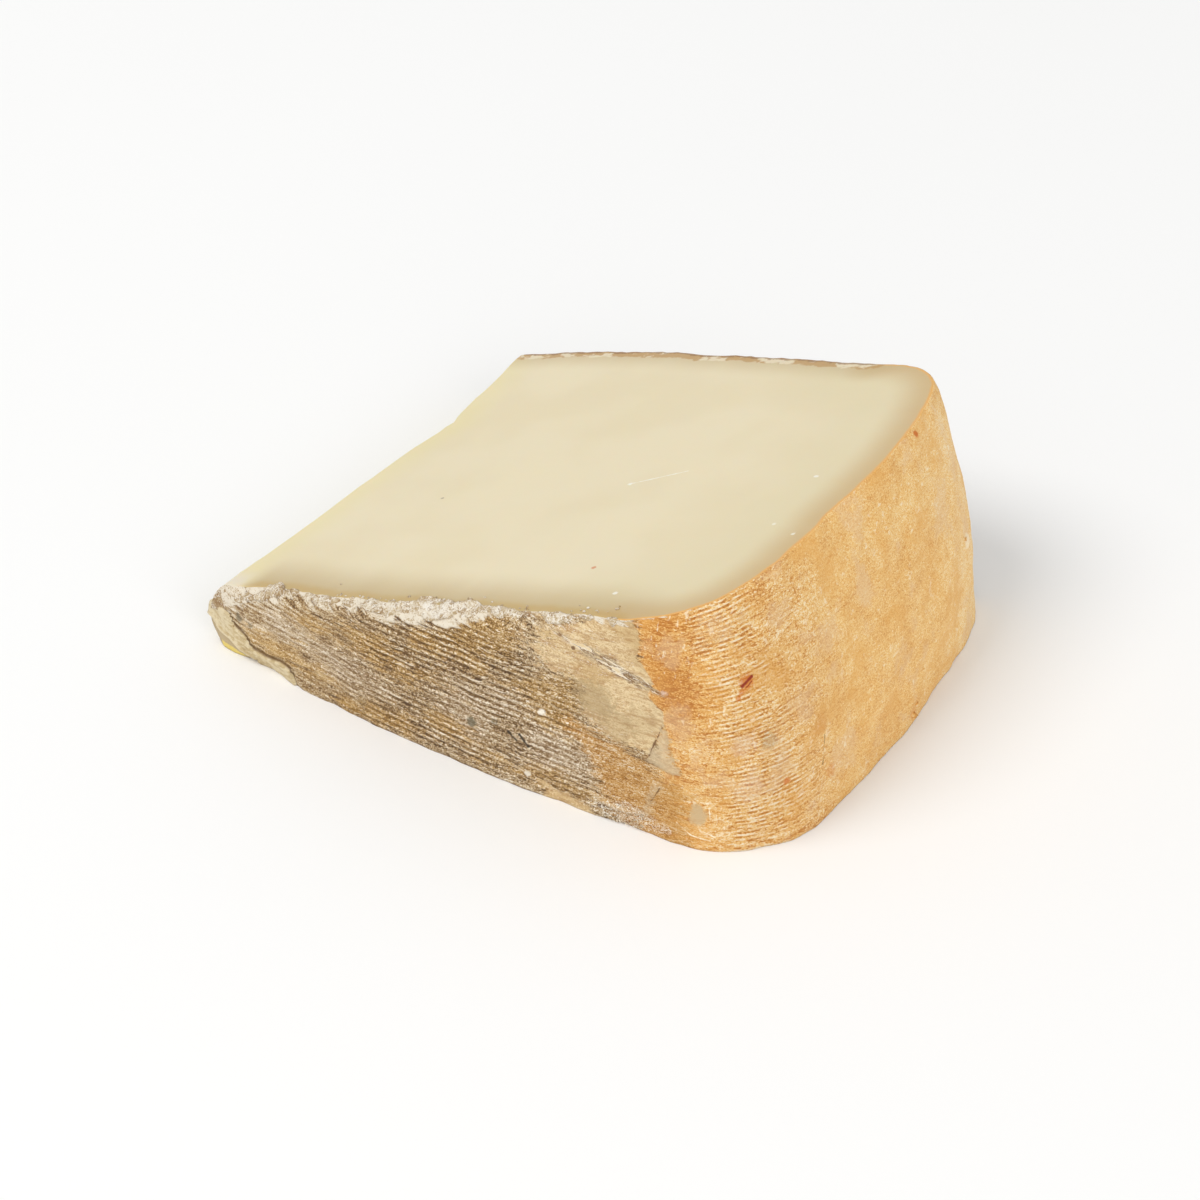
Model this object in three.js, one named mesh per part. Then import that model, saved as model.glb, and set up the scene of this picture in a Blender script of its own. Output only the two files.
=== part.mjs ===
// A wedge of a pressed sheep's milk cheese with a natural rind, lying on one of its two cuts.
//
// X runs from the thin nose to the rim, Y along the axis of the wheel that it was cut from,
// and Z up from the lower cut. Lengths are millimetres.
// The near face is the wheel's flat face at low Y and the far face is the one at high Y.
// "Rise" is the share of the way from the lower cut, 0, to the upper cut, 1.

import * as THREE from 'three';

// The wheel
const WHEEL_RADIUS = 126;
const WHEEL_HEIGHT = 100;
const NEAR_CROWN = 3.3;
const FAR_CROWN = 3.2;
const FAR_CROWN_LEAN = 0.7;
const NEAR_SHOULDER = { depth: 19.6, axialPower: 5.6, radialPower: 1.7 };
const FAR_SHOULDER = { depth: 25.4, axialPower: 2.0, radialPower: 3.4 };

// The two cuts. Neither passes through the wheel's axis, which lies at AXIS_X, AXIS_Z
const CUT_ANGLE = THREE.MathUtils.degToRad(18.4);
const AXIS_X = 2.4;
const AXIS_Z = -3.7;

// The blunt nose, where the tip of the wedge is missing. Its belly is fullest at the near face
const NOSE_FOOT_X = 2.6;
const NOSE_TOP_X = 6.1;
const NOSE_TOP_Z = 14.9;
const NOSE_BELLY = 3.2;
const NOSE_BELLY_END = 0.5;
const NOSE_BELLY_REACH = 45;
const NOSE_ROUNDING = 1.4;

// How far the nose's upper edge is broken back at each y. It jogs at the kink, at y 69
const NOSE_EDGE = [
  [0, -0.4],
  [20, 0.7],
  [40, 1.5],
  [56, 2.4],
  [69, 4.7],
  [75, 2.8],
  [83, 2.0],
  [90, 0.8],
  [97, -0.6],
];
const NOSE_EDGE_CURVE = 0.4;

// The crumbled fringe of rind along the upper cut, wide at the near face and thin elsewhere
const FRINGE_DROP = 2.4;
const FRINGE_CURVE = 1.3;
const NEAR_FRINGE = { inset: 3.0, ragged: 1.3, lip: 0.25 };
const FAR_FRINGE = { inset: 0.9, ragged: 0.5, lip: 0.35 };
const RIM_FRINGE = { inset: 0.5, ragged: 0.25, lip: 0.1 };
const NOSE_FRINGE = { inset: 0.3, ragged: 0.2, lip: 0 };
const FRINGE_RUN_IN = 0.16;
const FLAKES = [
  { along: 0.2, halfWidth: 0.04, inset: 1.8, lip: 0.9 },
  { along: 0.57, halfWidth: 0.05, inset: 1.6, lip: 0.8 },
  { along: 0.93, halfWidth: 0.04, inset: 1.0, lip: 0.5 },
];

// The loose flap of outer rind at the foot of the near face, beside the nose
const FLAP_RAISED = 0.9;
const FLAP_END_X = 24;
const FLAP_TOP_Z = 9.2;
const FLAP_TAIL_Z = 3.6;
const FLAP_SOFT_EDGE = 1.1;

// The patch near the rim where the ridged outer rind has come away
const PATCH_DEPTH = 0.45;
const PATCH_CENTRE = { x: 92, z: 31 };
const PATCH_RADIUS = { x: 15, z: 14 };

// How far the foot of the near face stands out at each x, and the foot of the rim at each y
const NEAR_FOOT = [
  [2, -0.2],
  [5, 0.5],
  [8, 0.2],
  [13, -1],
  [18, -1.3],
  [22, -0.5],
  [28, 0.3],
  [34, 0],
  [92, 0],
  [99, -0.6],
  [105, -0.6],
  [109, 0],
];
const NEAR_FOOT_HEIGHT = 5;
const RIM_FOOT = [
  [1, 0],
  [8, -0.6],
  [12, 0.3],
  [18, 0.6],
  [22, 0.5],
  [26, 0.2],
  [36, 0.5],
  [44, 0.1],
  [50, 0.2],
  [57, -0.1],
  [61, -0.5],
  [65, -1.1],
  [72, -1.05],
  [77, -0.8],
  [81, -0.1],
  [89, 0.4],
  [95, 0],
];
const RIM_FOOT_HEIGHT = 8;

// Lumps of the rind: height, and length of the longest
const LUMP_HEIGHT = 0.18;
const LUMP_LENGTH = 26;

// How finely the surface is divided
const NEAR_STEPS = 56;
const RIM_STEPS = 46;
const FAR_STEPS = 40;
const NOSE_STEPS = 34;
const BODY_LEVELS = 18;
const LOWER_LEVELS = [0, 1.2, 3];
const FRINGE_DEPTHS = [FRINGE_DROP, 1.5, 0.7, 0];

const RIND_COLOUR = '#c98f4e';
const RIND_ROUGHNESS = 0.8;
const RANDOM_SEED = 41;

const { lerp, clamp, smoothstep } = THREE.MathUtils;

// Repeatable random numbers from 0 to 1
function seededRandom(seed) {
  let state = seed;
  return () => {
    state = (state * 1664525 + 1013904223) % 4294967296;
    return state / 4294967296;
  };
}

// A smooth hump of height 1 at the centre and 0 beyond the half width
function hump(value, centre, halfWidth) {
  const offset = Math.abs(value - centre) / halfWidth;
  return offset < 1 ? Math.cos((offset * Math.PI) / 2) ** 2 : 0;
}

// The height at one place of a line through some points
function lineHeight(place, points) {
  const next = points.findIndex(([at]) => at >= place);
  if (next === 0) {
    return points[0][1];
  }
  if (next < 0) {
    return points[points.length - 1][1];
  }
  const [[before, low], [after, high]] = [points[next - 1], points[next]];
  return lerp(low, high, (place - before) / (after - before));
}

// The rim's outline from the near face to the far face, as evenly spaced (radius, y) points
function rimOutline() {
  const samples = 48;
  const points = [];
  for (let i = -samples; i <= samples; i += 1) {
    const shoulder = i < 0 ? NEAR_SHOULDER : FAR_SHOULDER;
    const angle = (Math.abs(i) / samples) * (Math.PI / 2);
    const axial = Math.sin(angle) ** (2 / shoulder.axialPower);
    const radial = Math.max(Math.cos(angle), 0) ** (2 / shoulder.radialPower);
    const radius = WHEEL_RADIUS - shoulder.depth * (1 - radial);
    points.push(new THREE.Vector2(radius, (WHEEL_HEIGHT / 2) * (1 + Math.sign(i) * axial)));
  }
  return new THREE.SplineCurve(points).getSpacedPoints(RIM_STEPS);
}

// The angle round the wheel's axis at which a circle meets the lower cut
function lowerCutAngle(radius) {
  return Math.asin(-AXIS_Z / radius);
}

// The angle round the wheel's axis at which a circle meets the upper cut
function upperCutAngle(radius) {
  const offset =
    (NOSE_TOP_Z - AXIS_Z) * Math.cos(CUT_ANGLE) - (NOSE_TOP_X - AXIS_X) * Math.sin(CUT_ANGLE);
  return CUT_ANGLE + Math.asin(offset / radius);
}

function rimPoint(radius, y, rise) {
  const angle = lerp(lowerCutAngle(radius), upperCutAngle(radius), rise);
  return new THREE.Vector3(
    AXIS_X + radius * Math.cos(angle),
    y,
    AXIS_Z + radius * Math.sin(angle),
  );
}

function nosePoint(y, rise) {
  const back = lineHeight(y, NOSE_EDGE);
  const fullness = lerp(NOSE_BELLY, NOSE_BELLY_END, smoothstep(y, 0, NOSE_BELLY_REACH));
  const belly = fullness * 4 * rise * (1 - rise);
  const x = lerp(NOSE_FOOT_X, NOSE_TOP_X, rise) - belly + back * rise ** NOSE_EDGE_CURVE;
  const z = rise * (NOSE_TOP_Z + back * Math.tan(CUT_ANGLE));
  return new THREE.Vector3(x, y, z);
}

// A point of a flat face, on the straight line from the nose to where the rim's shoulder begins
function facePoint(y, crown, shoulder, lean, along, rise) {
  const start = nosePoint(y, rise);
  const end = rimPoint(WHEEL_RADIUS - shoulder.depth, y, rise);
  const point = start.lerp(end, along);
  point.y += crown * Math.sin(Math.PI * along ** lean);
  return point;
}

function mixFringe(a, b, share) {
  return {
    inset: lerp(a.inset, b.inset, share),
    ragged: lerp(a.ragged, b.ragged, share),
    lip: lerp(a.lip, b.lip, share),
  };
}

// A flat face's fringe runs into the nose's at one end and into the rim's at the other
function faceFringe(fringe, along) {
  const fromNose = mixFringe(NOSE_FRINGE, fringe, smoothstep(along, 0, FRINGE_RUN_IN));
  return mixFringe(fromNose, RIM_FRINGE, smoothstep(along, 1 - FRINGE_RUN_IN, 1));
}

// Stations round the wedge: each gives a point for a rise, and the way out of the cheese there
function faceStation(y, crown, shoulder, lean, fringe, along) {
  const at = (rise) => facePoint(y, crown, shoulder, lean, along, rise);
  const outward = new THREE.Vector3(0, Math.sign(crown), 0);
  return { at, outward, fringe: faceFringe(fringe, along), along };
}

function nearStations() {
  return Array.from({ length: NEAR_STEPS }, (_, i) => ({
    ...faceStation(0, -NEAR_CROWN, NEAR_SHOULDER, 1, NEAR_FRINGE, i / NEAR_STEPS),
    near: true,
  }));
}

function farStations() {
  return Array.from({ length: FAR_STEPS }, (_, i) => {
    const along = 1 - i / FAR_STEPS;
    return faceStation(WHEEL_HEIGHT, FAR_CROWN, FAR_SHOULDER, FAR_CROWN_LEAN, FAR_FRINGE, along);
  });
}

function rimStations() {
  const outline = rimOutline();
  return outline.slice(0, RIM_STEPS).map(({ x: radius, y }, i) => {
    const before = outline[Math.max(i - 1, 0)];
    const after = outline[i + 1];
    const outward = new THREE.Vector3(after.y - before.y, before.x - after.x, 0).normalize();
    return { fringe: RIM_FRINGE, outward, rim: true, at: (rise) => rimPoint(radius, y, rise) };
  });
}

function noseStations() {
  const outward = new THREE.Vector3(-1, 0, 0);
  return Array.from({ length: NOSE_STEPS }, (_, i) => {
    const y = lerp(WHEEL_HEIGHT, 0, i / NOSE_STEPS);
    return { fringe: NOSE_FRINGE, outward, at: (rise) => nosePoint(y, rise) };
  });
}

// Near face from nose to rim, round the rim, far face from rim to nose, and back along the nose
function wedgeStations() {
  return [...nearStations(), ...rimStations(), ...farStations(), ...noseStations()];
}

// The rises of a station's levels: fixed heights at the foot, fixed depths at the fringe,
// and even steps between
function stationRises(station) {
  const height = station.at(1).z;
  const foot = LOWER_LEVELS.map((z) => z / height);
  const fringe = FRINGE_DEPTHS.map((depth) => 1 - depth / height);
  const last = foot[foot.length - 1];
  const body = Array.from({ length: BODY_LEVELS }, (_, i) =>
    lerp(last, fringe[0], (i + 1) / (BODY_LEVELS + 1)));
  return [...foot, ...body, ...fringe];
}

// The upper edge is crumbled back by the fringe, with a low lip where flakes stand up
function crumbleFringe(point, station, depth, random) {
  const { inset, ragged, lip } = station.fringe;
  const flakes = station.near ? FLAKES : [];
  let back = inset + ragged * (random - 0.5);
  let raised = lip * random;
  for (const flake of flakes) {
    const share = hump(station.along, flake.along, flake.halfWidth);
    back += flake.inset * share;
    raised += flake.lip * share;
  }
  const share = (1 - depth / FRINGE_DROP) ** FRINGE_CURVE;
  point.addScaledVector(station.outward, -back * share);
  point.z += raised * hump(depth, FRINGE_DEPTHS[2], FRINGE_DEPTHS[2]);
}

// The height of the flap of loose rind over the near face
function flapHeight({ x, z }) {
  const along = clamp(x / FLAP_END_X, 0, 1);
  const top = lerp(FLAP_TOP_Z, FLAP_TAIL_Z, smoothstep(along, 0.3, 0.6));
  const under = 1 - smoothstep(z, top - FLAP_SOFT_EDGE, top);
  const tail = 1 - smoothstep(x, FLAP_END_X - 2 * FLAP_SOFT_EDGE, FLAP_END_X);
  return FLAP_RAISED * under * tail;
}

// The depth of the patch that has lost its outer rind
function patchDepth({ x, z }) {
  const across = (x - PATCH_CENTRE.x) / PATCH_RADIUS.x;
  const up = (z - PATCH_CENTRE.z) / PATCH_RADIUS.z;
  const distance = Math.hypot(across, up) + 0.12 * Math.sin(4 * Math.atan2(up, across) + 1);
  return PATCH_DEPTH * (1 - smoothstep(distance, 0.85, 1.05));
}

// Low uneven lumps all over the rind: three crossing waves, each half as long as the last
function lumps({ x, y, z }) {
  let height = 0;
  for (let octave = 0; octave < 3; octave += 1) {
    const turn = (2 * Math.PI * 2 ** octave) / LUMP_LENGTH;
    const wave = Math.sin(turn * (x + 0.6 * z) + octave) * Math.sin(turn * (y - 0.7 * z) + 2 * octave);
    height += (wave + 0.5 * Math.sin(turn * (z + 0.3 * x) + 1.7 * octave)) / (octave + 1);
  }
  return LUMP_HEIGHT * height;
}

// How far the foot stands out, fading upwards
function footRelief(place, points, z, height) {
  return lineHeight(place, points) * clamp(1 - z / height, 0, 1) ** 2;
}

// Moves a plain point of the wedge out to its uneven rind
function addRelief(point, station) {
  let outwards = lumps(point);
  if (station.near) {
    outwards += flapHeight(point) - patchDepth(point);
    outwards += footRelief(point.x, NEAR_FOOT, point.z, NEAR_FOOT_HEIGHT);
  }
  if (station.rim) {
    outwards += footRelief(point.y, RIM_FOOT, point.z, RIM_FOOT_HEIGHT);
  }
  point.addScaledVector(station.outward, outwards);
}

// Rounds the upright edge between the near face and the nose
function roundNoseEdge(point) {
  const back = clamp(1 - (point.x - NOSE_FOOT_X) / (5 * NOSE_ROUNDING), 0, 1);
  const near = clamp(1 - point.y / (2 * NOSE_ROUNDING), 0, 1);
  point.y += NOSE_ROUNDING * back ** 2 * near;
}

function stationColumn(station, random) {
  return stationRises(station).map((rise, level, rises) => {
    const point = station.at(rise);
    addRelief(point, station);
    roundNoseEdge(point);
    const depthIndex = level - (rises.length - FRINGE_DEPTHS.length);
    if (depthIndex > 0) {
      crumbleFringe(point, station, FRINGE_DEPTHS[depthIndex], random);
    }
    return point;
  });
}

// Keeps the outermost points of both cuts exactly in their planes
function settleOnCuts(column) {
  const foot = column[0];
  const top = column[column.length - 1];
  foot.z = 0;
  top.z = NOSE_TOP_Z + (top.x - NOSE_TOP_X) * Math.tan(CUT_ANGLE);
}

// Triangles of a flat cut inside a closed row of points, seen from the side that it faces
function capTriangles(points, indices, faceUp) {
  const contour = points.map(({ x, y }) => new THREE.Vector2(x, y));
  const faces = THREE.ShapeUtils.triangulateShape(contour, []);
  return faces.flatMap(([a, b, c]) => {
    const triangle = faceUp ? [a, b, c] : [a, c, b];
    return triangle.map((corner) => indices[corner]);
  });
}

function wedgeGeometry() {
  const nextRandom = seededRandom(RANDOM_SEED);
  const columns = wedgeStations().map((station) => stationColumn(station, nextRandom()));
  columns.forEach(settleOnCuts);
  const levels = columns[0].length;
  const index = [];
  columns.forEach((_, i) => {
    const here = i * levels;
    const next = ((i + 1) % columns.length) * levels;
    for (let level = 0; level + 1 < levels; level += 1) {
      index.push(here + level, next + level, next + level + 1);
      index.push(here + level, next + level + 1, here + level + 1);
    }
  });
  const feet = columns.map((column) => column[0]);
  const tops = columns.map((column) => column[levels - 1]);
  index.push(...capTriangles(feet, columns.map((_, i) => i * levels), false));
  index.push(...capTriangles(tops, columns.map((_, i) => (i + 1) * levels - 1), true));
  const geometry = new THREE.BufferGeometry().setFromPoints(columns.flat());
  geometry.setIndex(index);
  return geometry;
}

// The origin is the middle of the wedge's box, at the level of the lower cut
function placeOrigin(geometry) {
  geometry.computeBoundingBox();
  const { min, max } = geometry.boundingBox;
  geometry.translate(-(min.x + max.x) / 2, -(min.y + max.y) / 2, 0);
  geometry.computeVertexNormals();
  return geometry;
}

const cheese = new THREE.Mesh(
  placeOrigin(wedgeGeometry()),
  new THREE.MeshStandardMaterial({ color: RIND_COLOUR, roughness: RIND_ROUGHNESS, metalness: 0 }),
);
cheese.name = 'cheese';

const wedge = new THREE.Group();
wedge.add(cheese);

export default wedge;
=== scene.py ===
# A wedge of pressed sheep's milk cheese with a natural rind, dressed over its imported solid.
#
# Lengths are millimetres in the wedge's own frame: X from the thin nose to the rim, Y along the axis of
# the wheel, Z up from the lower cut. ROW_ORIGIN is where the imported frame's origin lies in that frame.
# "Rise" is the share of the way from the lower cut, 0, to the upper cut, 1.

import math
from functools import reduce

import bpy
import numpy as np
from mathutils import Matrix, Vector


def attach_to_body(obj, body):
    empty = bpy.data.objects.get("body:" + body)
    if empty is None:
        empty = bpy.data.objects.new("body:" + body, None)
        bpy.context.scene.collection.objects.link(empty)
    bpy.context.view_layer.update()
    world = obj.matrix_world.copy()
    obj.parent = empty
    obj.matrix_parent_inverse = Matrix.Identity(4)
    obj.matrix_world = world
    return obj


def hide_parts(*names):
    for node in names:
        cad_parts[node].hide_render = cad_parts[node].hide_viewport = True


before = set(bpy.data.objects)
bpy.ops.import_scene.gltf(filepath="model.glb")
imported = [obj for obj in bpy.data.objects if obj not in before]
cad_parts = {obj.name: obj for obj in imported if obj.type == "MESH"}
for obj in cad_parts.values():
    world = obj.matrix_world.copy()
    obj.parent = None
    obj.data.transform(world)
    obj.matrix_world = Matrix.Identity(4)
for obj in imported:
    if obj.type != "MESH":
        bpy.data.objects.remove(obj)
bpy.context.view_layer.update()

# The wheel, the two cuts and the nose, as in the solid
ROW_ORIGIN = np.array([64.748, 49.9, 0.0])
WHEEL_RADIUS = 126.0
WHEEL_HEIGHT = 100.0
NEAR_SIDE = {"y": 0.0, "crown": -3.3, "lean": 1, "depth": 19.6, "axial": 5.6, "radial": 1.7}
FAR_SIDE = {"y": WHEEL_HEIGHT, "crown": 3.2, "lean": 0.7, "depth": 25.4, "axial": 2.0, "radial": 3.4}
CUT_ANGLE = math.radians(18.4)
AXIS_X = 2.4
AXIS_Z = -3.7
NOSE_FOOT_X = 2.6
NOSE_TOP_X = 6.1
NOSE_TOP_Z = 14.9
NOSE_BELLY = 3.2
NOSE_BELLY_END = 0.5
NOSE_BELLY_REACH = 45.0
NOSE_ROUNDING = 1.4
NOSE_EDGE = ((0, -0.4), (20, 0.7), (40, 1.5), (56, 2.4), (69, 4.7), (75, 2.8), (83, 2.0), (90, 0.8),
             (97, -0.6))
NOSE_EDGE_CURVE = 0.4

# The crumbled fringe along the upper cut
FRINGE_DROP = 2.4
FRINGE_CURVE = 1.3
FRINGE_RUN_IN = 0.16
NEAR_INSET = 3.0
FAR_INSET = 0.9
RIM_INSET = 0.5
NOSE_INSET = 0.3

# How far the foot of the near face stands out at each x, and the foot of the rim at each y
NEAR_FOOT = ((2, -0.2), (5, 0.5), (8, 0.2), (13, -1), (18, -1.3), (22, -0.5), (28, 0.3), (34, 0), (92, 0),
             (99, -0.6), (105, -0.6), (109, 0))
NEAR_FOOT_HEIGHT = 5.0
RIM_FOOT = ((1, 0), (8, -0.6), (12, 0.3), (18, 0.6), (22, 0.5), (26, 0.2), (36, 0.5), (44, 0.1), (50, 0.2),
            (57, -0.1), (61, -0.5), (65, -1.1), (72, -1.05), (77, -0.8), (81, -0.1), (89, 0.4), (95, 0))
RIM_FOOT_HEIGHT = 8.0
LUMP_HEIGHT = 0.18
LUMP_LENGTH = 26.0
NUB_Y = 85.5
NUB_ARC = 22.0
NUB_RADIUS = 2.6
NUB_HEIGHT = 0.5

# The ridges that the mould's cloth left in the rind
FACE_RIDGE_PITCH = 1.34
FACE_RIDGE_HEIGHT = 0.42
FACE_RIDGE_SLOPE = 0.045
RIM_RIDGE_HEIGHT = 0.26
LEVELS_PER_RIM_RIDGE = 4


# How finely the surface is divided
RIM_SAMPLES = 801
NOSE_END_COLUMNS = 52
NOSE_END_SHARE = 0.25
NEAR_COLUMNS = 155
RIM_CORNER_COLUMNS = 42
RIM_CORNER_LENGTH = 36.0
RIM_COLUMNS = 125
FAR_COLUMNS = 70
NOSE_COLUMNS = 45
FOOT_HEIGHTS = np.linspace(0, 2.2, 6)
FRINGE_DEPTHS = np.linspace(3.0, 0, 17)
BODY_LEVELS = 208

NEAR, RIM, FAR, NOSE = range(4)
OUTSIDE = -9.0
MM = 0.001


# Repeatable noise

def lattice(ix, iy, iz, seed):
    """Repeatable values from -1 to 1 at whole-number points"""
    mixed = ix.astype(np.uint32) * np.uint32(0x8DA6B343)
    mixed ^= iy.astype(np.uint32) * np.uint32(0xD8163841)
    mixed ^= iz.astype(np.uint32) * np.uint32(0xCB1AB31F)
    mixed ^= np.uint32(seed * 7919 + 17)
    mixed ^= mixed >> np.uint32(13)
    mixed *= np.uint32(0x85EBCA6B)
    mixed ^= mixed >> np.uint32(16)
    return mixed.astype(np.float64) / 2.0**31 - 1


def noise(points, size, seed, stretch=(1, 1, 1)):
    """Smooth value noise from -1 to 1, with features about as long as size"""
    scaled = points / (size * np.array(stretch))
    cell = np.floor(scaled).astype(np.int64)
    part = scaled - cell
    part = part * part * (3 - 2 * part)
    total = np.zeros(points.shape[:-1])
    for corner in range(8):
        dx, dy, dz = corner & 1, corner >> 1 & 1, corner >> 2 & 1
        weight = np.where(dx, part[..., 0], 1 - part[..., 0])
        weight = weight * np.where(dy, part[..., 1], 1 - part[..., 1])
        weight = weight * np.where(dz, part[..., 2], 1 - part[..., 2])
        total += weight * lattice(cell[..., 0] + dx, cell[..., 1] + dy, cell[..., 2] + dz, seed)
    return total


def rough_noise(points, size, seed, octaves=3, stretch=(1, 1, 1)):
    """Noise with finer noise on it, each octave half as long and half as high"""
    total = np.zeros(points.shape[:-1])
    for octave in range(octaves):
        total += noise(points, size / 2**octave, seed + 31 * octave, stretch) / 2**octave
    return total


def smoothstep(value, low, high):
    share = np.clip((value - low) / (high - low), 0, 1)
    return share * share * (3 - 2 * share)


def hump(value, centre, half_width):
    """1 at the centre and 0 beyond the half width"""
    offset = np.minimum(np.abs(value - centre) / half_width, 1)
    return np.cos(offset * math.pi / 2) ** 2


def curve(x, points):
    """The height of a line through some points"""
    xs, heights = zip(*points)
    return np.interp(x, xs, heights)

# The plain form of the wedge

def rim_outline():
    """The rim from the near face to the far face: radius, y and length along it, finely sampled"""
    angle = np.linspace(-math.pi / 2, math.pi / 2, RIM_SAMPLES)
    depth, axial, radial = (np.where(angle < 0, NEAR_SIDE[key], FAR_SIDE[key])
                            for key in ("depth", "axial", "radial"))
    radius = WHEEL_RADIUS - depth * (1 - np.maximum(np.cos(angle), 0) ** (2 / radial))
    y = WHEEL_HEIGHT / 2 * (1 + np.sign(angle) * np.abs(np.sin(angle)) ** (2 / axial))
    length = np.concatenate([[0], np.cumsum(np.hypot(np.diff(radius), np.diff(y)))])
    return radius, y, length


def lower_cut_angle(radius):
    return np.arcsin(-AXIS_Z / radius)


def upper_cut_angle(radius):
    offset = (NOSE_TOP_Z - AXIS_Z) * math.cos(CUT_ANGLE) - (NOSE_TOP_X - AXIS_X) * math.sin(CUT_ANGLE)
    return CUT_ANGLE + np.arcsin(offset / radius)


def rim_points(radius, y, rise):
    low = lower_cut_angle(radius)
    angle = low + (upper_cut_angle(radius) - low) * rise
    x = AXIS_X + radius * np.cos(angle)
    z = AXIS_Z + radius * np.sin(angle)
    return np.stack(np.broadcast_arrays(x, y, z), axis=-1)


def nose_points(y, rise):
    back = curve(y, NOSE_EDGE)
    fullness = NOSE_BELLY + (NOSE_BELLY_END - NOSE_BELLY) * smoothstep(y, 0, NOSE_BELLY_REACH)
    belly = fullness * 4 * rise * (1 - rise)
    x = NOSE_FOOT_X + (NOSE_TOP_X - NOSE_FOOT_X) * rise - belly + back * rise**NOSE_EDGE_CURVE
    z = rise * (NOSE_TOP_Z + back * math.tan(CUT_ANGLE))
    return np.stack(np.broadcast_arrays(x, y, z), axis=-1)


def face_points(side, along, rise):
    """Points of a flat face, by the share of the way along it from the nose to the rim"""
    start = nose_points(side["y"], rise)
    end = rim_points(WHEEL_RADIUS - side["depth"], side["y"], rise)
    share = np.broadcast_to(along, start.shape[:-1])
    points = start + (end - start) * share[..., None]
    points[..., 1] += side["crown"] * np.sin(math.pi * share ** side["lean"])
    return points


def spread(middle, end, before, count):
    """Positions from 0 to an end, with more of them before a middle one"""
    return np.concatenate([np.linspace(0, middle, before, endpoint=False),
                           np.linspace(middle, end, count - before, endpoint=False)])


def wedge_stations():
    """For each column of the surface: its region, share along the face, radius and y"""
    radius, y, length = rim_outline()
    rim_at = spread(RIM_CORNER_LENGTH, length[-1], RIM_CORNER_COLUMNS, RIM_COLUMNS)
    blocks = (
        (NEAR, spread(NOSE_END_SHARE, 1, NOSE_END_COLUMNS, NEAR_COLUMNS), 0, 0),
        (RIM, 1, np.interp(rim_at, length, radius), np.interp(rim_at, length, y)),
        (FAR, 1 - np.arange(FAR_COLUMNS) / FAR_COLUMNS, 0, 0),
        (NOSE, 0, 0, WHEEL_HEIGHT * (1 - np.arange(NOSE_COLUMNS) / NOSE_COLUMNS)),
    )
    return np.concatenate([np.stack(np.broadcast_arrays(*block)) for block in blocks], axis=1)


def plain_points(stations, rises):
    region, along, radius, y = stations
    near, rim, far, nose = (region == part for part in (NEAR, RIM, FAR, NOSE))
    points = np.zeros(rises.shape + (3,))
    points[near] = face_points(NEAR_SIDE, along[near, None], rises[near])
    points[rim] = rim_points(radius[rim, None], y[rim, None], rises[rim])
    points[far] = face_points(FAR_SIDE, along[far, None], rises[far])
    points[nose] = nose_points(y[nose, None], rises[nose])
    return points


def level_rises(stations):
    """Fixed heights at the foot, fixed depths at the fringe, and even steps between"""
    top = plain_points(stations, np.ones((stations.shape[1], 1)))[..., 2]
    foot = FOOT_HEIGHTS / top
    fringe = 1 - FRINGE_DEPTHS / top
    steps = np.arange(1, BODY_LEVELS + 1) / (BODY_LEVELS + 1)
    body = foot[:, -1:] + (fringe[:, :1] - foot[:, -1:]) * steps
    return np.concatenate([foot, body, fringe], axis=1), top


def outward_normals(points):
    along = np.roll(points, -1, axis=0) - np.roll(points, 1, axis=0)
    up = np.gradient(points, axis=1)
    normals = np.cross(along, up)
    return normals / np.linalg.norm(normals, axis=-1, keepdims=True)


# Where each kind of rind lies on the near face. An outline goes round its zone as points x, z
PATCH_OUTLINE = ((80.5, 38.5), (84, 40), (88, 42), (92, 43.6), (96, 45.2), (99.5, 45.6), (101, 44),
                 (101.3, 41), (100.8, 38.5), (102.8, 36.6), (104.2, 34.3), (103.9, 31.2), (105.4, 29.8),
                 (106.3, 28.3), (106.5, 26.3), (105.8, 24), (104.8, 21.4), (103.9, 18.4), (100, 18.8),
                 (96, 19.6), (92.4, 20.4), (90.8, 22.5), (90.6, 25), (90.8, 28), (88, 29.6), (84, 30.4),
                 (81.5, 31.5), (80, 34.5))
FOOT_STRIP_OUTLINE = ((81, 3.7), (84, 2.9), (88, 2.5), (92, 2.2), (93, -1), (82, -1), (83.4, 1.4))
FLAKE_OUTLINE = ((106.6, 26), (107.2, 24.4), (107.7, 22.6), (108.0, 20.8), (108.9, 18.8), (110.2, 17.2),
                 (110.4, 16.2), (108.6, 15.6), (106.6, 15.6), (105, 16.2), (103.5, 16.9), (104.1, 18.2),
                 (105, 21), (105.9, 23.6))
TAWNY_OUTLINE = ((86.5, 20.5), (90, 19.5), (96, 18.8), (103.6, 16.4), (106, 14.6), (109, 13.4), (112, 12),
                 (112, -3), (99, -3), (96.5, 3.5), (94.6, 6), (94, 9), (93, 12), (91, 15), (87, 18.5))

# Lines of folded rind at the foot of the corner, as points x, z
FOLDS = (
    ((103.8, 3.8), (104.2, 7.8), (105.8, 11.8)),
    ((94.5, 4.6), (98, 3.6), (101, 4.2), (104.2, 5.2)),
    ((98.4, 0.8), (99.2, 2.6), (100.6, 4.0)),
)

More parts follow.
